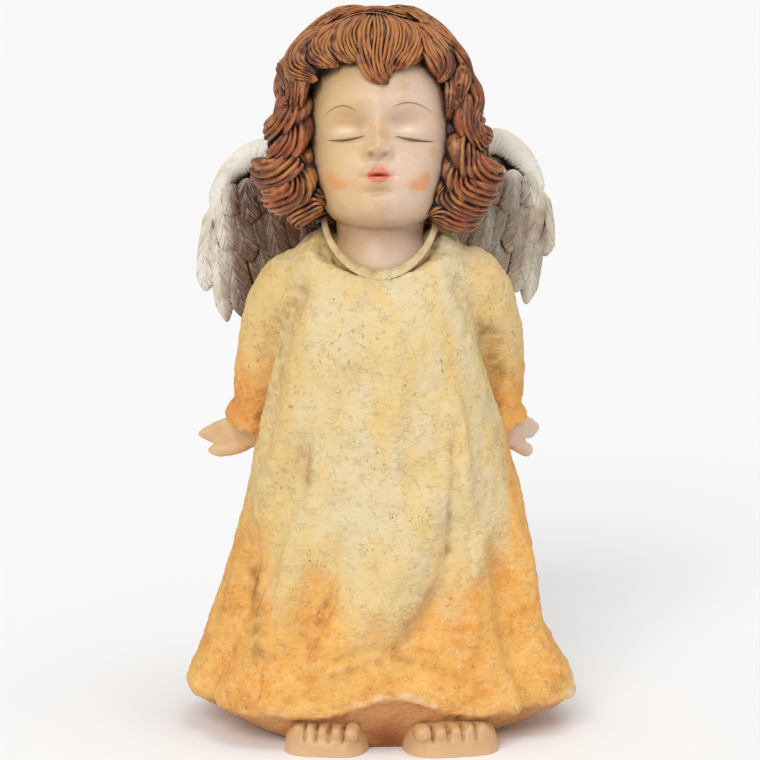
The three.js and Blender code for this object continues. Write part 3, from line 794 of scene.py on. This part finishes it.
# The fringe's locks: half width, thickness, ridges, and their line as azimuth, degrees from the crown, lift
FRINGE = [
    (5.5, 4, 5, [(-48, 20, 1), (-42, 42, 2), (-34, 53, 2), (-26, 60, 0.5)]),
    (5, 4, 4, [(-38, 13, 1), (-30, 42, 3), (-24, 54, 3), (-17, 61, 1)]),
    (5, 4.5, 5, [(-26, 8, 1), (-20, 42, 3.5), (-15, 55, 4), (-7, 61.5, 2)]),
    (5, 4.5, 4, [(-10, 5, 1), (-9, 42, 4), (-7, 58, 4.5), (-2, 68, 3), (4, 74, 1)]),
    (5, 4.5, 5, [(6, 5, 1), (2, 42, 4), (0, 60, 4.5), (2, 69.5, 4), (8, 74, 2)]),
    (5, 4.5, 4, [(22, 7, 1), (13, 42, 4), (8, 58, 4), (6, 66, 3), (9, 71, 1)]),
    (5, 4.5, 5, [(34, 11, 1), (23, 42, 3.5), (17, 55, 3.5), (12, 62, 2.5), (9, 67, 0)]),
    (5, 4, 4, [(45, 15, 1), (32, 43, 3), (25, 53, 3), (18, 60, 2), (10, 65, 0)]),
    (5, 4, 4, [(52, 20, 1), (40, 43, 2), (34, 51, 2), (26, 57, 1), (15, 62, 0)]),
    (6, 4.5, 5, [(-48, 26, 1), (-51, 44, 3), (-50, 54, 3.5), (-42, 60, 3), (-31, 63, 1)]),
    (5, 4, 4, [(-41, 30, 1), (-42, 46, 3), (-41, 54, 3), (-35, 60, 2.5), (-27, 63, 1)]),
    (6.5, 6, 5, [(-56, 30, 1), (-66, 48, 2.5), (-70, 60, 3.5), (-58, 70, 5), (-39, 73, 3)]),
    (5, 5, 4, [(-50, 36, 1), (-58, 50, 4), (-60, 58, 5), (-54, 66, 5), (-43, 69, 2.5)]),
    (6, 5, 4, [(-80, 44, 0), (-84, 60, 2), (-76, 71, 2.5), (-62, 77, 2), (-50, 80, 0)]),
    (4.5, 4, 4, [(48, 28, 0), (42, 46, 3), (40, 57, 3.5), (43, 66, 3), (49, 74, 1)]),
    (6, 5, 5, [(54, 28, 1), (52, 46, 3), (52, 58, 3.5), (50, 68, 3), (44, 74, 1)]),
    (6, 6, 5, [(58, 28, 1), (62, 47, 2), (70, 59, 2.5), (70, 68, 3), (58, 73, 2)]),
    (6, 5, 4, [(66, 34, 0), (78, 50, 1), (86, 62, 1.5), (84, 72, 2), (72, 80, 1)]),
]
for number, (half_width, thickness, count, knots) in enumerate(FRINGE):
    azimuths, polars, lifts = np.array(knots, float).T
    line = on_cap(direction(azimuths, polars), lifts)
    hair_forms.append(lock(f"fringe_{number}", line, half_width, thickness, count, 48, 26, number + 0.5))
over_crown = on_cap(direction(np.array([-88, -84, 0, 84, 88]), np.array([46, 22, 3, 22, 46])), np.zeros(5))
hair_forms.append(lock("crown", over_crown, 13, 3.2, 11, 64, 40, 19.5))

# Combed locks: from the whorl over the crown and down the sides and the back, each in a slow wave
WHORL = direction(180, 13)
for number, azimuth in enumerate(np.linspace(56, 304, 21)):
    end = direction(azimuth, 102)
    apart = np.arccos(WHORL @ end)
    sidestep = np.cross(WHORL, end)
    sidestep /= np.linalg.norm(sidestep)
    shares = np.linspace(0.03 if number % 2 else 0.1, 1, 11)
    swing = 0.1 * np.sin(shares * 13 + number * 2.4) * step(shares, 0.2, 0.8)
    near_whorl = np.sin((1 - shares) * apart)[:, None] * WHORL
    fan = (near_whorl + np.sin(shares * apart)[:, None] * end) / np.sin(apart)
    wave = 1.6 * np.sin(shares * 17 + number * 1.9) * step(shares, 0.35, 0.8)
    line = on_cap(fan + swing[:, None] * sidestep, 0.5 + 1.6 * np.sin(shares * pi) + (number % 2) + wave)
    hair_forms.append(lock(f"combed_{number}", line, 8.0, 4.5, 7, 50, 40, number + 20.5, 0.25))

# Ringlets: azimuth, height of the lower end, turns of the coil and where the coil starts
RINGLETS = [
    (-163, 268, 2.1, 0.0),
    (-130, 271, 2.0, 2.1),
    (-98, 285, 1.8, 4.0),
    (98, 285, 1.8, 2.9),
    (130, 271, 2.0, 5.0),
    (163, 268, 2.1, 1.6),
]
RINGLET_TOP = 364
ringlet_spread = through([[0, 38], [0.25, 43], [0.5, 47.5], [0.75, 49], [0.9, 44], [1, 34]])
ringlet_radius = through([[0, 5], [0.25, 7], [0.65, 8.8], [0.9, 8], [1, 4]])


def ringlet(number, azimuth, bottom, turns, start):
    """Two strands wound round an upright core, loosely above and tightly below, and the core itself"""
    a = radians(azimuth)
    hand = 1 if azimuth > 0 else -1

    def core(share):
        outward = ringlet_spread(share) - 3 - 3 * step(abs(azimuth), 90, 150)
        sway = 2.2 * np.sin(share * 11 + number * 1.7) * np.sin(share * pi)
        x = outward * sin(a) + sway * cos(a)
        y = HAIR_CENTRE[1] - outward * cos(a) + sway * sin(a)
        return columns(x, y, between(RINGLET_TOP, bottom, share))

    def from_core(points):
        return points - core((RINGLET_TOP - points[:, 2]) / (RINGLET_TOP - bottom))

    name = f"ringlet_{number}"
    inside = tapered(8, 8, 0.1, 0.2)
    forms = [tube(name, hair_paint, core(np.linspace(0, 1, 9)), 20, 24, inside, backwards)]
    shares = np.linspace(0, 1, 30)
    for strand in (0, 1):
        winding = 2 * pi * turns * shares**1.5 + 0.4 * np.sin(shares * 9 + number)
        turn = hand * winding + start + strand * pi
        wound = core(shares)
        reach = ringlet_radius(shares) * (1 + 0.2 * np.sin(shares * 17 + number + 3 * strand))
        wound[:, 0] += reach * np.cos(turn)
        wound[:, 1] += reach * np.sin(turn)
        shape = tapered(8.8, 7.0, 0.08, 0.15)
        ridges = strands(5, 0.42, number + strand)
        label = number + 50.5 + 10 * strand
        forms.append(tube(name, hair_paint, wound, 34, 92, shape, from_core, ridges, 0.5, None, label))
    return forms


for number, shape in enumerate(RINGLETS):
    hair_forms += ringlet(number, *shape)

# The curls beside the face, which don't match: the half width and thickness of each and points of its line
CURLS = [
    (12, 11, [(-41, 4, 356), (-45, -1, 338), (-48, -3, 312), (-42, -4, 288)]),
    (6.5, 5.5, [(-53, 4, 365), (-49, -6, 362), (-44, -13, 353), (-46, -14, 344), (-53, -10, 347)]),
    (8, 6.5, [(-37, 2, 346), (-43, -14, 341), (-51, -15, 334), (-55.5, -6, 329), (-55, 5, 327)]),
    (7.5, 6, [(-35.5, 0, 336), (-40.5, -16, 331), (-46, -21, 324), (-53, -16, 317), (-57, -3, 314)]),
    (9, 7, [(-36, 0, 321), (-43, -18, 315), (-52, -20, 309), (-61, -10, 307), (-64, 3, 309)]),
    (8.5, 7, [(-35.5, -2, 312), (-39, -18, 307), (-45, -21, 299), (-54, -15, 294), (-60, -1, 296)]),
    (6.5, 6.5, [(-31, -6, 300), (-35, -17, 294), (-42, -16, 287), (-43, -7, 284), (-36, -5, 282)]),
    (12, 11, [(39, 4, 356), (42, -1, 338), (47, -3, 312), (42, -4, 288)]),
    (6, 5.5, [(43, -10, 365), (42, -15, 357), (39, -16, 348), (44, -17, 342)]),
    (
        6,
        5.5,
        [(44, -2, 365), (48, -5, 354), (50, -7, 345), (47, -13, 337), (49, -15, 331), (55, -9, 327)]
        + [(59, -2, 331)],
    ),
    (6.5, 5.5, [(47, -10, 351), (44, -15, 341), (45, -17, 333), (50, -16, 326), (55, -10, 322)]),
    (5, 5, [(38, -4, 352), (38, -10, 339), (39, -13, 327), (44, -14, 318)]),
    (9, 7, [(37, -3, 327), (42, -18, 321), (48, -21, 312), (57, -14, 306), (64, -1, 308)]),
    (8.5, 7, [(34, -3, 318), (38, -18, 311), (44, -21, 303), (53, -17, 298), (62, -3, 300)]),
    (7.5, 6.5, [(31, -5, 308), (34, -17, 301), (40, -20, 294), (49, -15, 290), (57, -3, 292)]),
    (6.5, 6, [(29, -6, 296), (32, -16, 289), (38, -17, 284), (46, -12, 282), (51, -1, 285)]),
]
for number, (half_width, thickness, points) in enumerate(CURLS):
    hair_forms.append(lock(f"curl_{number}", points, half_width, thickness, 5, 40, 36, number + 70.5, 0.16))

hair, surface = painted(hair_paint)
mm = hair.millimetres()
grain = hair.attribute("grain", "Vector")
CHESTNUT, RUSSET, AMBER = shade(106, 51, 22), shade(148, 69, 28), shade(188, 120, 56)
colour = hair.mix(hair.ramp(hair.clouds(mm, 16, 3, 30), 0.42, 0.6), CHESTNUT, RUSSET)
# Amber patches, more of them towards the top of the hair
amber_toward_top = hair.math("MULTIPLY", hair.ramp(hair.split(mm)[2], 345, 385), 0.2)
amber_toward_top = hair.math("ADD", hair.clouds(mm, 10, 3, 31), amber_toward_top)
colour = hair.mix(hair.ramp(amber_toward_top, 0.52, 0.66, 0.8), colour, AMBER)
streak = hair.clouds(hair.stretched(grain, 0.7, 12, 0.4), 1, 3, 32)
colour = hair.mix(hair.ramp(streak, 0.48, 0.34, 0.9), colour, shade(66, 32, 20))
colour = hair.mix(hair.ramp(streak, 0.56, 0.7, 0.7), colour, shade(190, 126, 72))
# Near-black wash and painted shade in the hollows between strands and locks, golden dry brushing on the
# ridges
colour = washed_shaded_and_brushed(hair, colour, shade(28, 12, 8), shade(204, 142, 82), (0.08, 0.5), (0.5, 1.8), 0.75)
hair.tree.links.new(colour, surface["Base Color"])
surface["Roughness"].default_value = 0.45
surface["Coat Weight"].default_value = 0.1
surface["Coat Roughness"].default_value = 0.3
bump = hair.node("Bump", {"Height": streak, "Distance": 0.0006, "Strength": 0.9})
hair.tree.links.new(bump, surface["Normal"])


# Wings: folded down behind the shoulders. A thick nicked leading edge arches up and over, and rows of
# feathers hang from it before a thin web, all one casting, washed brown and wiped pale, with painted shade
# in the hollows under the arch
ARCH_FOOT = (12, 32, 246)
ARCHES = {
    -1: [(27, 46, 284), (48, 53, 306), (66, 54, 312), (80, 53, 303), (88, 51, 288), (90, 49, 268)],
    1: [(27, 46, 288), (48, 53, 311), (65, 54, 318), (78, 53, 309), (84.5, 51, 294), (86, 49, 280)],
}

# Each feather: its root and its tip, across and up, its half width and how far it lies in front of the
# web. The long ones differ from wing to wing; the shorter rows over them are alike
LONG_FEATHERS = {
    -1: [
        (92, 284, 98, 234, 5.8, 1.5),
        (91, 282, 86, 217, 5.5, 0),
        (87, 282, 74, 218, 7.5, -2.4),
        (79, 282, 64, 225, 7.5, 0),
        (71, 284, 57, 228, 7.0, -2.0),
        (60, 284, 47, 232, 7.5, 0),
        (48, 282, 37, 238, 7.5, -2.0),
        (36, 278, 28, 240, 7.0, 0),
    ],
    1: [
        (89, 292, 93, 254, 5.4, 1.5),
        (88, 290, 82, 227, 5.5, 0),
        (83, 290, 76, 234, 6.6, -2.4),
        (76, 290, 68, 237, 7.0, 0),
        (68, 290, 60, 236, 7.5, -2.0),
        (58, 288, 50, 238, 7.5, 0),
        (47, 286, 40, 240, 7.5, -2.0),
        (36, 282, 30, 244, 7.0, 0),
    ],
}
SHORT_FEATHERS = [
    (87, 290, 83, 256, 5.8, -4),
    (81, 292, 72, 252, 7.0, -5),
    (71, 294, 66, 257, 6.5, -4),
    (62, 295, 54, 250, 7.2, -5.4),
    (52, 294, 48, 256, 6.5, -4),
    (42, 290, 37, 250, 7.0, -5),
    (82, 296, 81, 277, 5.2, -6.6),
    (74, 299, 71, 274, 6.2, -7.4),
    (66, 301, 64, 279, 5.4, -6.6),
    (57, 300, 53, 274, 6.2, -7.4),
    (48, 297, 46, 277, 5.5, -6.6),
    (38, 292, 36, 270, 6.0, -6.6),
]
BARB = 2.5
wing_paint = bpy.data.materials.new("wing_paint")


def vane(number, length, half_width):
    """A feather's raised quill, and the barbs cut slantwise away from it"""

    def bulge(angle, share):
        aside = np.abs(np.cos(angle))
        along = share * length - 1.9 * aside * half_width + 0.9 * np.sin(share * 7 + number)
        cut = np.maximum(0.5 - np.abs(np.cos(pi * along / BARB)), 0)
        barbs = 0.45 * cut * step(aside, 0.12, 0.35) * step(share, 0.05, 0.2)
        quill = 0.3 * hill(np.cos(angle), 0.12) * (1 - step(share, 0.75, 0.95))
        return 1 + (quill - barbs) * step(np.sin(angle), 0, 0.4)

    return bulge


def wing_forms(side):
    def facing(points):
        return np.array([side * 0.2, -1, 0])

    def nicks(angle, share):
        along = 34 * share + 0.9 * np.cos(angle) + 0.5 * np.sin(share * 19)
        deep = np.maximum(0.4 - np.abs(np.cos(pi * along)), 0)
        carved = 0.55 + 0.45 * np.sin(share * 43 + 3 * angle)
        return 1 - 0.32 * deep * carved * step(np.sin(angle), -0.4, 0.2)

    lift = 5 if side > 0 else 0
    arch = np.array([ARCH_FOOT, *ARCHES[side]]) * (side, 1, 1)
    whole = tapered(7.8, 7.5, 0.12, 0.16)
    forms = [tube("wing_arch", wing_paint, arch, 48, 150, whole, facing, nicks, number=90.5)]
    web = np.array([(56, 52, 314 + lift), (57, 51, 278), (60, 50, 236)]) * (side, 1, 1)
    forms.append(tube("wing_web", wing_paint, web, 32, 24, tapered(31, 4.0, 0.35, 0.5), facing, number=91.5))
    short = [(x0, z0 + lift, x1, z1 + lift, width, ahead) for x0, z0, x1, z1, width, ahead in SHORT_FEATHERS]
    for number, (x0, z0, x1, z1, half_width, ahead) in enumerate(LONG_FEATHERS[side] + short):
        root, tip = np.array([x0, 51 + ahead, z0]), np.array([x1, 48.5 + ahead, z1])
        middle = between(root, tip, 0.5) + (1.5, -2.0, 0)
        line = np.array([root, middle, tip]) * (side, 1, 1)
        length = float(np.linalg.norm(tip - root))
        shape = tapered(half_width, 2.6, 0.2, 0.16)
        bulge = vane(number, length, half_width)
        number += 100.5 + 40 * (side > 0)
        along = int(length * 1.5)
        forms.append(tube("feather", wing_paint, line, 32, along, shape, facing, bulge, 0.4, None, number))
    return forms


feather, surface = painted(wing_paint)
mm = feather.millimetres()
lie, reach, number = feather.split(feather.attribute("grain", "Vector"))
PALE, GREY, FAWN = shade(234, 228, 214), shade(214, 202, 182), shade(186, 150, 116)
STAIN_AND_SHADE, WORN_STAIN_AND_SHADE = shade(70, 34, 8), shade(98, 58, 26)
colour = feather.mix(feather.ramp(feather.clouds(mm, 14, 3, 40), 0.42, 0.6), PALE, GREY)
colour = feather.mix(feather.ramp(feather.clouds(mm, 20, 3, 41), 0.54, 0.7, 0.5), colour, FAWN)
slanting = feather.math("SUBTRACT", reach, feather.math("MULTIPLY", feather.math("ABSOLUTE", lie), 1.9))
barb_at = feather.node("CombineXYZ", {0: slanting, 1: lie, 2: number})
barb = feather.clouds(feather.stretched(barb_at, 1.0, 8, 1), 1, 2, 42)
on_feathers = feather.math("MULTIPLY", feather.ramp(barb, 0.46, 0.36, 0.55), feather.ramp(number, 95, 99))
colour = feather.mix(on_feathers, colour, shade(120, 86, 60))
bare = feather.ramp(feather.clouds(mm, 9, 4, 43), 0.3, 0.5, 0.8)
on_arch = feather.math("MULTIPLY", feather.ramp(number, 91.2, 90.8), bare)
colour = feather.mix(on_arch, colour, shade(229, 223, 210))
# Dark brown wash and painted shade in the hollows, pale dry brushing on what stands out
colour = washed_shaded_and_brushed(feather, colour, shade(46, 28, 18), shade(222, 210, 190), (0.12, 0.62), (0.5, 2.0), 0.55)
wiped = feather.math("MULTIPLY", feather.ramp(barb, 0.5, 0.66), 0.3)
wiped = feather.math("ADD", wiped, feather.ramp(feather.attribute("rise"), 0.5, 1.8, 0.25))
# Brown stain and painted shade on the wings' insides, wiped pale off the barbs and ridges
stained_and_shaded = feather.math("MULTIPLY", feather.attribute("deep"), feather.math("SUBTRACT", 1, wiped))
stain_and_shade = feather.mix(feather.ramp(feather.clouds(mm, 8, 3, 44), 0.4, 0.6), STAIN_AND_SHADE, WORN_STAIN_AND_SHADE)
colour = feather.mix(stained_and_shaded, colour, stain_and_shade)
feather.tree.links.new(colour, surface["Base Color"])
surface["Roughness"].default_value = 0.55
bump = feather.node("Bump", {"Height": barb, "Distance": 0.0004, "Strength": 0.7})
feather.tree.links.new(bump, surface["Normal"])


# Hands: small and plump, of the same painted resin, held out from the cuffs that they are cast into. The
# fingers run together to a point, with the thumb apart
HANDS = {
    -1: {"turn_back": 14, "size": 1.0, "thumb": (25.5, -12.5)},
    1: {"turn_back": 52, "size": 0.95, "thumb": (18.5, -16)},
}


def limb(line, half_width, thickness, facing=(0, -1, 0.1), tip=0.3):
    shape = tapered(half_width, thickness, 0.25, tip)
    return tube("limb", skin_paint, line, 20, 18, shape, lambda p: np.array(facing))


def hand(side):
    size = HANDS[side]["size"]
    wrist = Matrix.Translation((side * 71, 20, SHOULDER - 91))
    wrist = wrist @ Matrix.Diagonal((side * size, size, size, 1))
    wrist = wrist @ Matrix.Rotation(radians(HANDS[side]["turn_back"]), 4, "Z")
    forms = [limb([(-12, 0, 2), (4, 0, 0), (19, 0, -1)], 10.5, 7.5)]
    for i, length in enumerate((27.5, 32.5, 31, 28)):
        root, tip = (8, 0, 5.5 - 3.4 * i), (length, 1, -3.6 - 1.1 * i)
        bent = (between(root[0], tip[0], 0.55), -2.2 + 0.6 * i, between(root[2], tip[2], 0.5) + 0.6)
        forms.append(limb([root, bent, tip], 3.1, 3.3))
    reach, drop = HANDS[side]["thumb"]
    thumb = [(-2, 0, -5), (9, -3.5, between(-7, drop, 0.5)), (reach, -4, drop)]
    forms.append(limb(thumb, 4.2, 4.2, tip=0.2))
    mesh = melted("hand", skin_paint, forms, 0.9, 3)
    mesh.transform(wrist)
    if side < 0:
        mesh.flip_normals()
    return mesh


# Feet: bare and blocky, of the same painted resin, cast with the base below the hem. Short lines cut into
# them part the toes, and they stand on the ground
FEET = {
    -1: {"middle": -27.5, "turn_out": -8, "width": 1.0},
    1: {"middle": 36.5, "turn_out": 10, "width": 1.14},
}
TOE_GAPS = [-11.2, -3.6, 3.4, 9.8]


def toe_cut(x, y, z, gap):
    return hill(x - gap, 0.75) * step(z, 6.5, 9.5) * step(-y, 14, 20)


def foot(side):
    def squared(value):
        return np.sign(value) * np.abs(value) ** 0.55

    def sole(angle, share):
        flat = np.sin(pi * share) ** 0.4
        points = columns(23 * flat * squared(np.cos(angle)), 29 * flat * squared(np.sin(angle)), 0)
        points[:, 2] = np.where(share > 0.5, 16.5, 12.5) * -np.cos(pi * share)
        return points, np.zeros_like(points)

    forms = [form("sole", skin_paint, 60, 40, sole)]
    for i, gap in enumerate([-19, *TOE_GAPS]):
        aside = side * (gap + 3.7)
        radius = 4.4 if i == 0 else 3.8 - 0.15 * i
        front = -28.2 + 0.3 * i * i
        line = [(aside, front + 18, 12), (aside, front + 7, 12.6), (aside, front, 11)]
        forms.append(limb(line, radius, radius, (0, 0, 1), 0.2))
    mesh = melted("foot", skin_paint, forms, 0.9, 4)
    points, out = spots(mesh), normals(mesh)
    x, y, z = points.T
    for gap in TOE_GAPS:
        points = points - out * (1.6 * toe_cut(x * side, y, z, gap))[:, None]
    points = points + out * (0.5 * unevenness(points, 6, side))[:, None]
    move(mesh, points)
    place = Matrix.Translation((FEET[side]["middle"], -44, 0))
    place = place @ Matrix.Rotation(radians(FEET[side]["turn_out"]), 4, "Z")
    mesh.transform(place @ Matrix.Diagonal((FEET[side]["width"], 1, 1, 1)))
    points = spots(mesh)
    points[:, 2] = np.maximum(points[:, 2], 0)
    move(mesh, points)
    return mesh


# The casting: its forms joined in three skins, as they came out of the mould, with the marks that the
# paints go by: how sheltered each point is and how far it stands out of its surroundings
# Shelter is tried along this many directions, each as far as this
DIRECTIONS, SHELTER_REACH = 26, 13


def joined(name, first, forms):
    others = bpy.data.collections.new("forms")
    for mesh in forms:
        others.objects.link(bpy.data.objects.new(mesh.name, mesh))
    piece = bpy.data.objects.new(name, first)
    bpy.context.scene.collection.objects.link(piece)
    join = piece.modifiers.new("join", "BOOLEAN")
    join.operation = "UNION"
    join.solver = "MANIFOLD"
    join.operand_type = "COLLECTION"
    join.collection = others
    join.material_mode = "TRANSFER"
    mesh = settled(piece)
    for operand in list(others.objects):
        bpy.data.objects.remove(operand)
    bpy.data.collections.remove(others)
    return mesh


def smoothed(mesh, values, times):
    edges = np.empty(len(mesh.edges) * 2, np.int32)
    mesh.edges.foreach_get("vertices", edges)
    a, b = edges.reshape(-1, 2).T
    size = len(mesh.vertices)
    met = np.maximum(np.bincount(a, minlength=size) + np.bincount(b, minlength=size), 1)
    values = values.reshape(size, -1).copy()
    for _ in range(times):
        for k in range(values.shape[1]):
            total = np.bincount(a, values[b, k], size) + np.bincount(b, values[a, k], size)
            values[:, k] = 0.5 * values[:, k] + 0.5 * total / met
    return values


def shelter(points, out, tree):
    """How much of what each point faces is closed off by other parts nearby"""
    blocked, faced = np.zeros(len(points)), np.full(len(points), 1e-6)
    starts = (points + out * 0.35).tolist()
    for k in range(DIRECTIONS):
        up = 1 - (2 * k + 1) / DIRECTIONS
        aside, turn = sqrt(1 - up * up), k * pi * (3 - sqrt(5))
        ray = Vector((aside * cos(turn), aside * sin(turn), up))
        toward = out @ np.array(ray)
        seen = np.nonzero(toward > 0.25)[0]
        faced[seen] += toward[seen]
        hits = [i for i in seen.tolist() if tree.ray_cast(starts[i], ray, SHELTER_REACH)[0] is not None]
        blocked[hits] += toward[hits]
    return blocked / faced


def mark(mesh, name, values):
    mesh.attributes.new(name, "FLOAT", "POINT").data.foreach_set("value", values.astype(np.float32).ravel())


both_wings = wing_forms(-1) + wing_forms(1)
castings = {
    "angel_robe": joined("robe", robe_mesh, [neckline, hand(-1), hand(1), foot(-1), foot(1)]),
    "angel_head": joined("head", head_mesh, [neck_mesh, *hair_forms]),
    "angel_wings": joined("wings", both_wings[0], both_wings[1:]),
}
corners, triangles = [], []
for mesh in castings.values():
    mesh.calc_loop_triangles()
    found = np.empty(len(mesh.loop_triangles) * 3, np.int32)
    mesh.loop_triangles.foreach_get("vertices", found)
    triangles.append(found.reshape(-1, 3) + sum(len(part) for part in corners))
    corners.append(spots(mesh))
tree = BVHTree.FromPolygons(np.vstack(corners).tolist(), np.vstack(triangles).tolist(), all_triangles=True)

# How high the orange of the hem reaches, from the right hand side across the front to the left
orange_top = through(
    [[-1, 138], [-0.92, 124], [-0.78, 108], [-0.62, 70], [-0.5, 94], [-0.3, 90], [-0.15, 70], [0, 66]]
    + [[0.2, 66], [0.3, 76], [0.45, 80], [0.6, 92], [0.76, 104], [0.88, 116], [1, 165]]
)

# Where brown dirt has settled on the robe's front, and painted shade lies along its creases: the line, how
# wide it is and how thick
DIRT_AND_CREASE_SHADE = [
    ([(-43, 246), (-54, 220), (-60, 187)], 8, 0.45),
    ([(-62, 150), (-80, 95), (-86, 60)], 16, 0.22),
    ([(-45, 95), (-50, 60)], 12, 0.22),
    ([(45, 247), (56, 222), (62, 200)], 3, 0.4),
    ([(58, 222), (64, 217)], 5, 0.7),
    ([(63, 205), (67, 196)], 5, 0.6),
    ([(-68, 92), (-66, 52)], 3.5, 0.75),
    ([(-26, 88), (-33, 70)], 2.2, 0.8),
    ([(-38, 62), (-30, 56)], 3, 0.5),
    ([(27, 88), (14, 70)], 5, 0.3),
    ([(-24, 44), (-9, 50), (10, 51), (29, 46)], 2.2, 0.5),
    ([(-40, 162), (-38, 146)], 3.5, 0.55),
    ([(38, 170), (37, 120)], 1.6, 0.5),
    ([(86, 22), (100, 32)], 4, 0.5),
    ([(-70, 22), (-50, 16)], 5, 0.5),
]


def robe_marks(points, out):
    x, y, z = points.T
    soiled_and_shaded = sum(thick * hill(away_from(line, x, z), width) for line, width, thick in DIRT_AND_CREASE_SHADE)
    soiled_and_shaded = soiled_and_shaded * step(-out[:, 1], 0, 0.3)
    ahead = (y + 6) / 33
    soiled_and_shaded += 0.55 * hill(np.hypot(x, ahead * 30) - 29.5, 2.2) * hill(z - neckline_height(ahead), 4)
    turn = np.degrees(np.arctan2(x / 110, -y / 68))
    orange = orange_top(x / robe_side(z)) - z
    cuff, sleeves = np.zeros(len(points)), np.zeros(len(points))
    for side in (-1, 1):
        axis = curve(sleeve_line(side), np.linspace(0.3, 1, 40))[0]
        away = np.min(np.linalg.norm(points[:, None] - axis[None], axis=2), axis=1)
        orange = np.where(away < 22.5, 202 - z + 4 * (np.abs(x) > 78), orange)
        cuff += (away < 22.5) * step(196 - z, 0, 14) * (0.7 if side < 0 else 0.35)
        sleeves += 1 - step(away, 21, 25)
    hem = hem_height(turn)
    rim = hill(z - hem + 1.5, 1.8) * step(np.hypot(x, y), 40, 55)
    worn = rim * (0.1 + 0.6 * hill(turn - 6, 12)) + 0.8 * hill(z - hem, 5) * step(x, 99, 106)
    # Painted shade in the hollow between the feet under the hem
    recess_shade = 0.95 * hill(x - 4, 12) * step(22 - z, 0, 16) * step(-y, 35, 50)
    # Painted shade below the hem's edge
    under = step(hem - z, 2.5, 5.5)
    # Painted shade in the cuts between the toes
    painted_shade = np.zeros(len(points))
    for side, shape in FEET.items():
        a = radians(shape["turn_out"])
        aside, ahead = x - shape["middle"], y + 44
        across = (aside * cos(a) + ahead * sin(a)) / shape["width"] * side
        along = ahead * cos(a) - aside * sin(a)
        near = (np.abs(across) < 26) * (z < 18)
        painted_shade += near * sum(0.6 * toe_cut(across, along, z, gap) for gap in TOE_GAPS)
    marks = {"orange": orange, "cuff": cuff, "sleeve": sleeves, "worn": worn, "under": under}
    return {**marks, "recess_shade": recess_shade, "soiled_and_shaded": soiled_and_shaded, "painted_shade": painted_shade}


def wing_shade(points):
    x, y, z = points.T
    # Brown stain and painted shade on the insides under the arch, more on the right wing; brown stripes on
    # one feather each
    inside = step(88 - np.abs(x), 0, 9) * step(306 - z, 0, 10)
    inside = inside * (np.where(x < 0, 0.92, 0.38) + np.where(x < 0, 0.08, 0.3) * hill(z - 288, 15))
    right_stripe = 0.6 * hill(x + 84, 4) * step(272 - z, 0, 12)
    left_stripe = 0.45 * hill(x - 90, 5) * step(290 - z, 0, 12)
    return np.maximum(inside, np.where(x < 0, right_stripe, left_stripe))


for (name, mesh), points in zip(castings.items(), corners):
    out = normals(mesh)
    closed = smoothed(mesh, shelter(points, out, tree), 1)
    rise = ((points - smoothed(mesh, points, 4)) * out).sum(1)
    rise = np.clip(rise / np.percentile(np.abs(rise), 88), -2, 2)
    mark(mesh, "shelter", closed)
    mark(mesh, "rise", smoothed(mesh, rise, 1))
    if name == "angel_robe":
        marks = robe_marks(points, out)
    elif name == "angel_head":
        marks = face_paint(points)
    else:
        marks = {"deep": wing_shade(points)}
    for title, values in marks.items():
        mark(mesh, title, values)
    move(mesh, (points + (0, CENTRING, 0)) * 0.001)
    mesh.shade_smooth()
    mesh.set_sharp_from_angle(angle=radians(70))
    mesh.name = name
    piece = bpy.data.objects.new(name, mesh)
    bpy.context.scene.collection.objects.link(piece)
    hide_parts("angel_figurine")
    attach(piece, "root")


# Floor and light: a plain pale floor, which isn't part of the figurine, under soft studio light from the
# front and from above
floor_shape = bmesh.new()
bmesh.ops.create_grid(floor_shape, x_segments=1, y_segments=1, size=14)
floor_paint = bpy.data.materials.new("floor_paint")
floor = bpy.data.objects.new("floor", finished("floor", floor_paint, floor_shape))
bpy.context.scene.collection.objects.link(floor)
ground, surface = painted(floor_paint)
surface["Base Color"].default_value = (0.9, 0.9, 0.9, 1)
surface["Roughness"].default_value = 0.9
world = bpy.data.worlds.new("studio")
world.use_nodes = True
world.node_tree.nodes["Background"].inputs["Color"].default_value = (1, 1, 1, 1)
world.node_tree.nodes["Background"].inputs["Strength"].default_value = 0.62
bpy.context.scene.world = world
bpy.context.scene.view_settings.view_transform = "Standard"
LIGHTS = {"key": ((-0.45, -1.35, 1.25), 1.35), "top": ((0.4, -0.2, 2), 0.6)}
for name, (place, strength) in LIGHTS.items():
    lamp = bpy.data.lights.new(name, "SUN")
    lamp.angle = radians(30)
    lamp.energy = strength
    light = bpy.data.objects.new(name, lamp)
    light.location = place
    light.rotation_euler = (AIM - Vector(place)).to_track_quat("-Z", "Y").to_euler()
    bpy.context.scene.collection.objects.link(light)
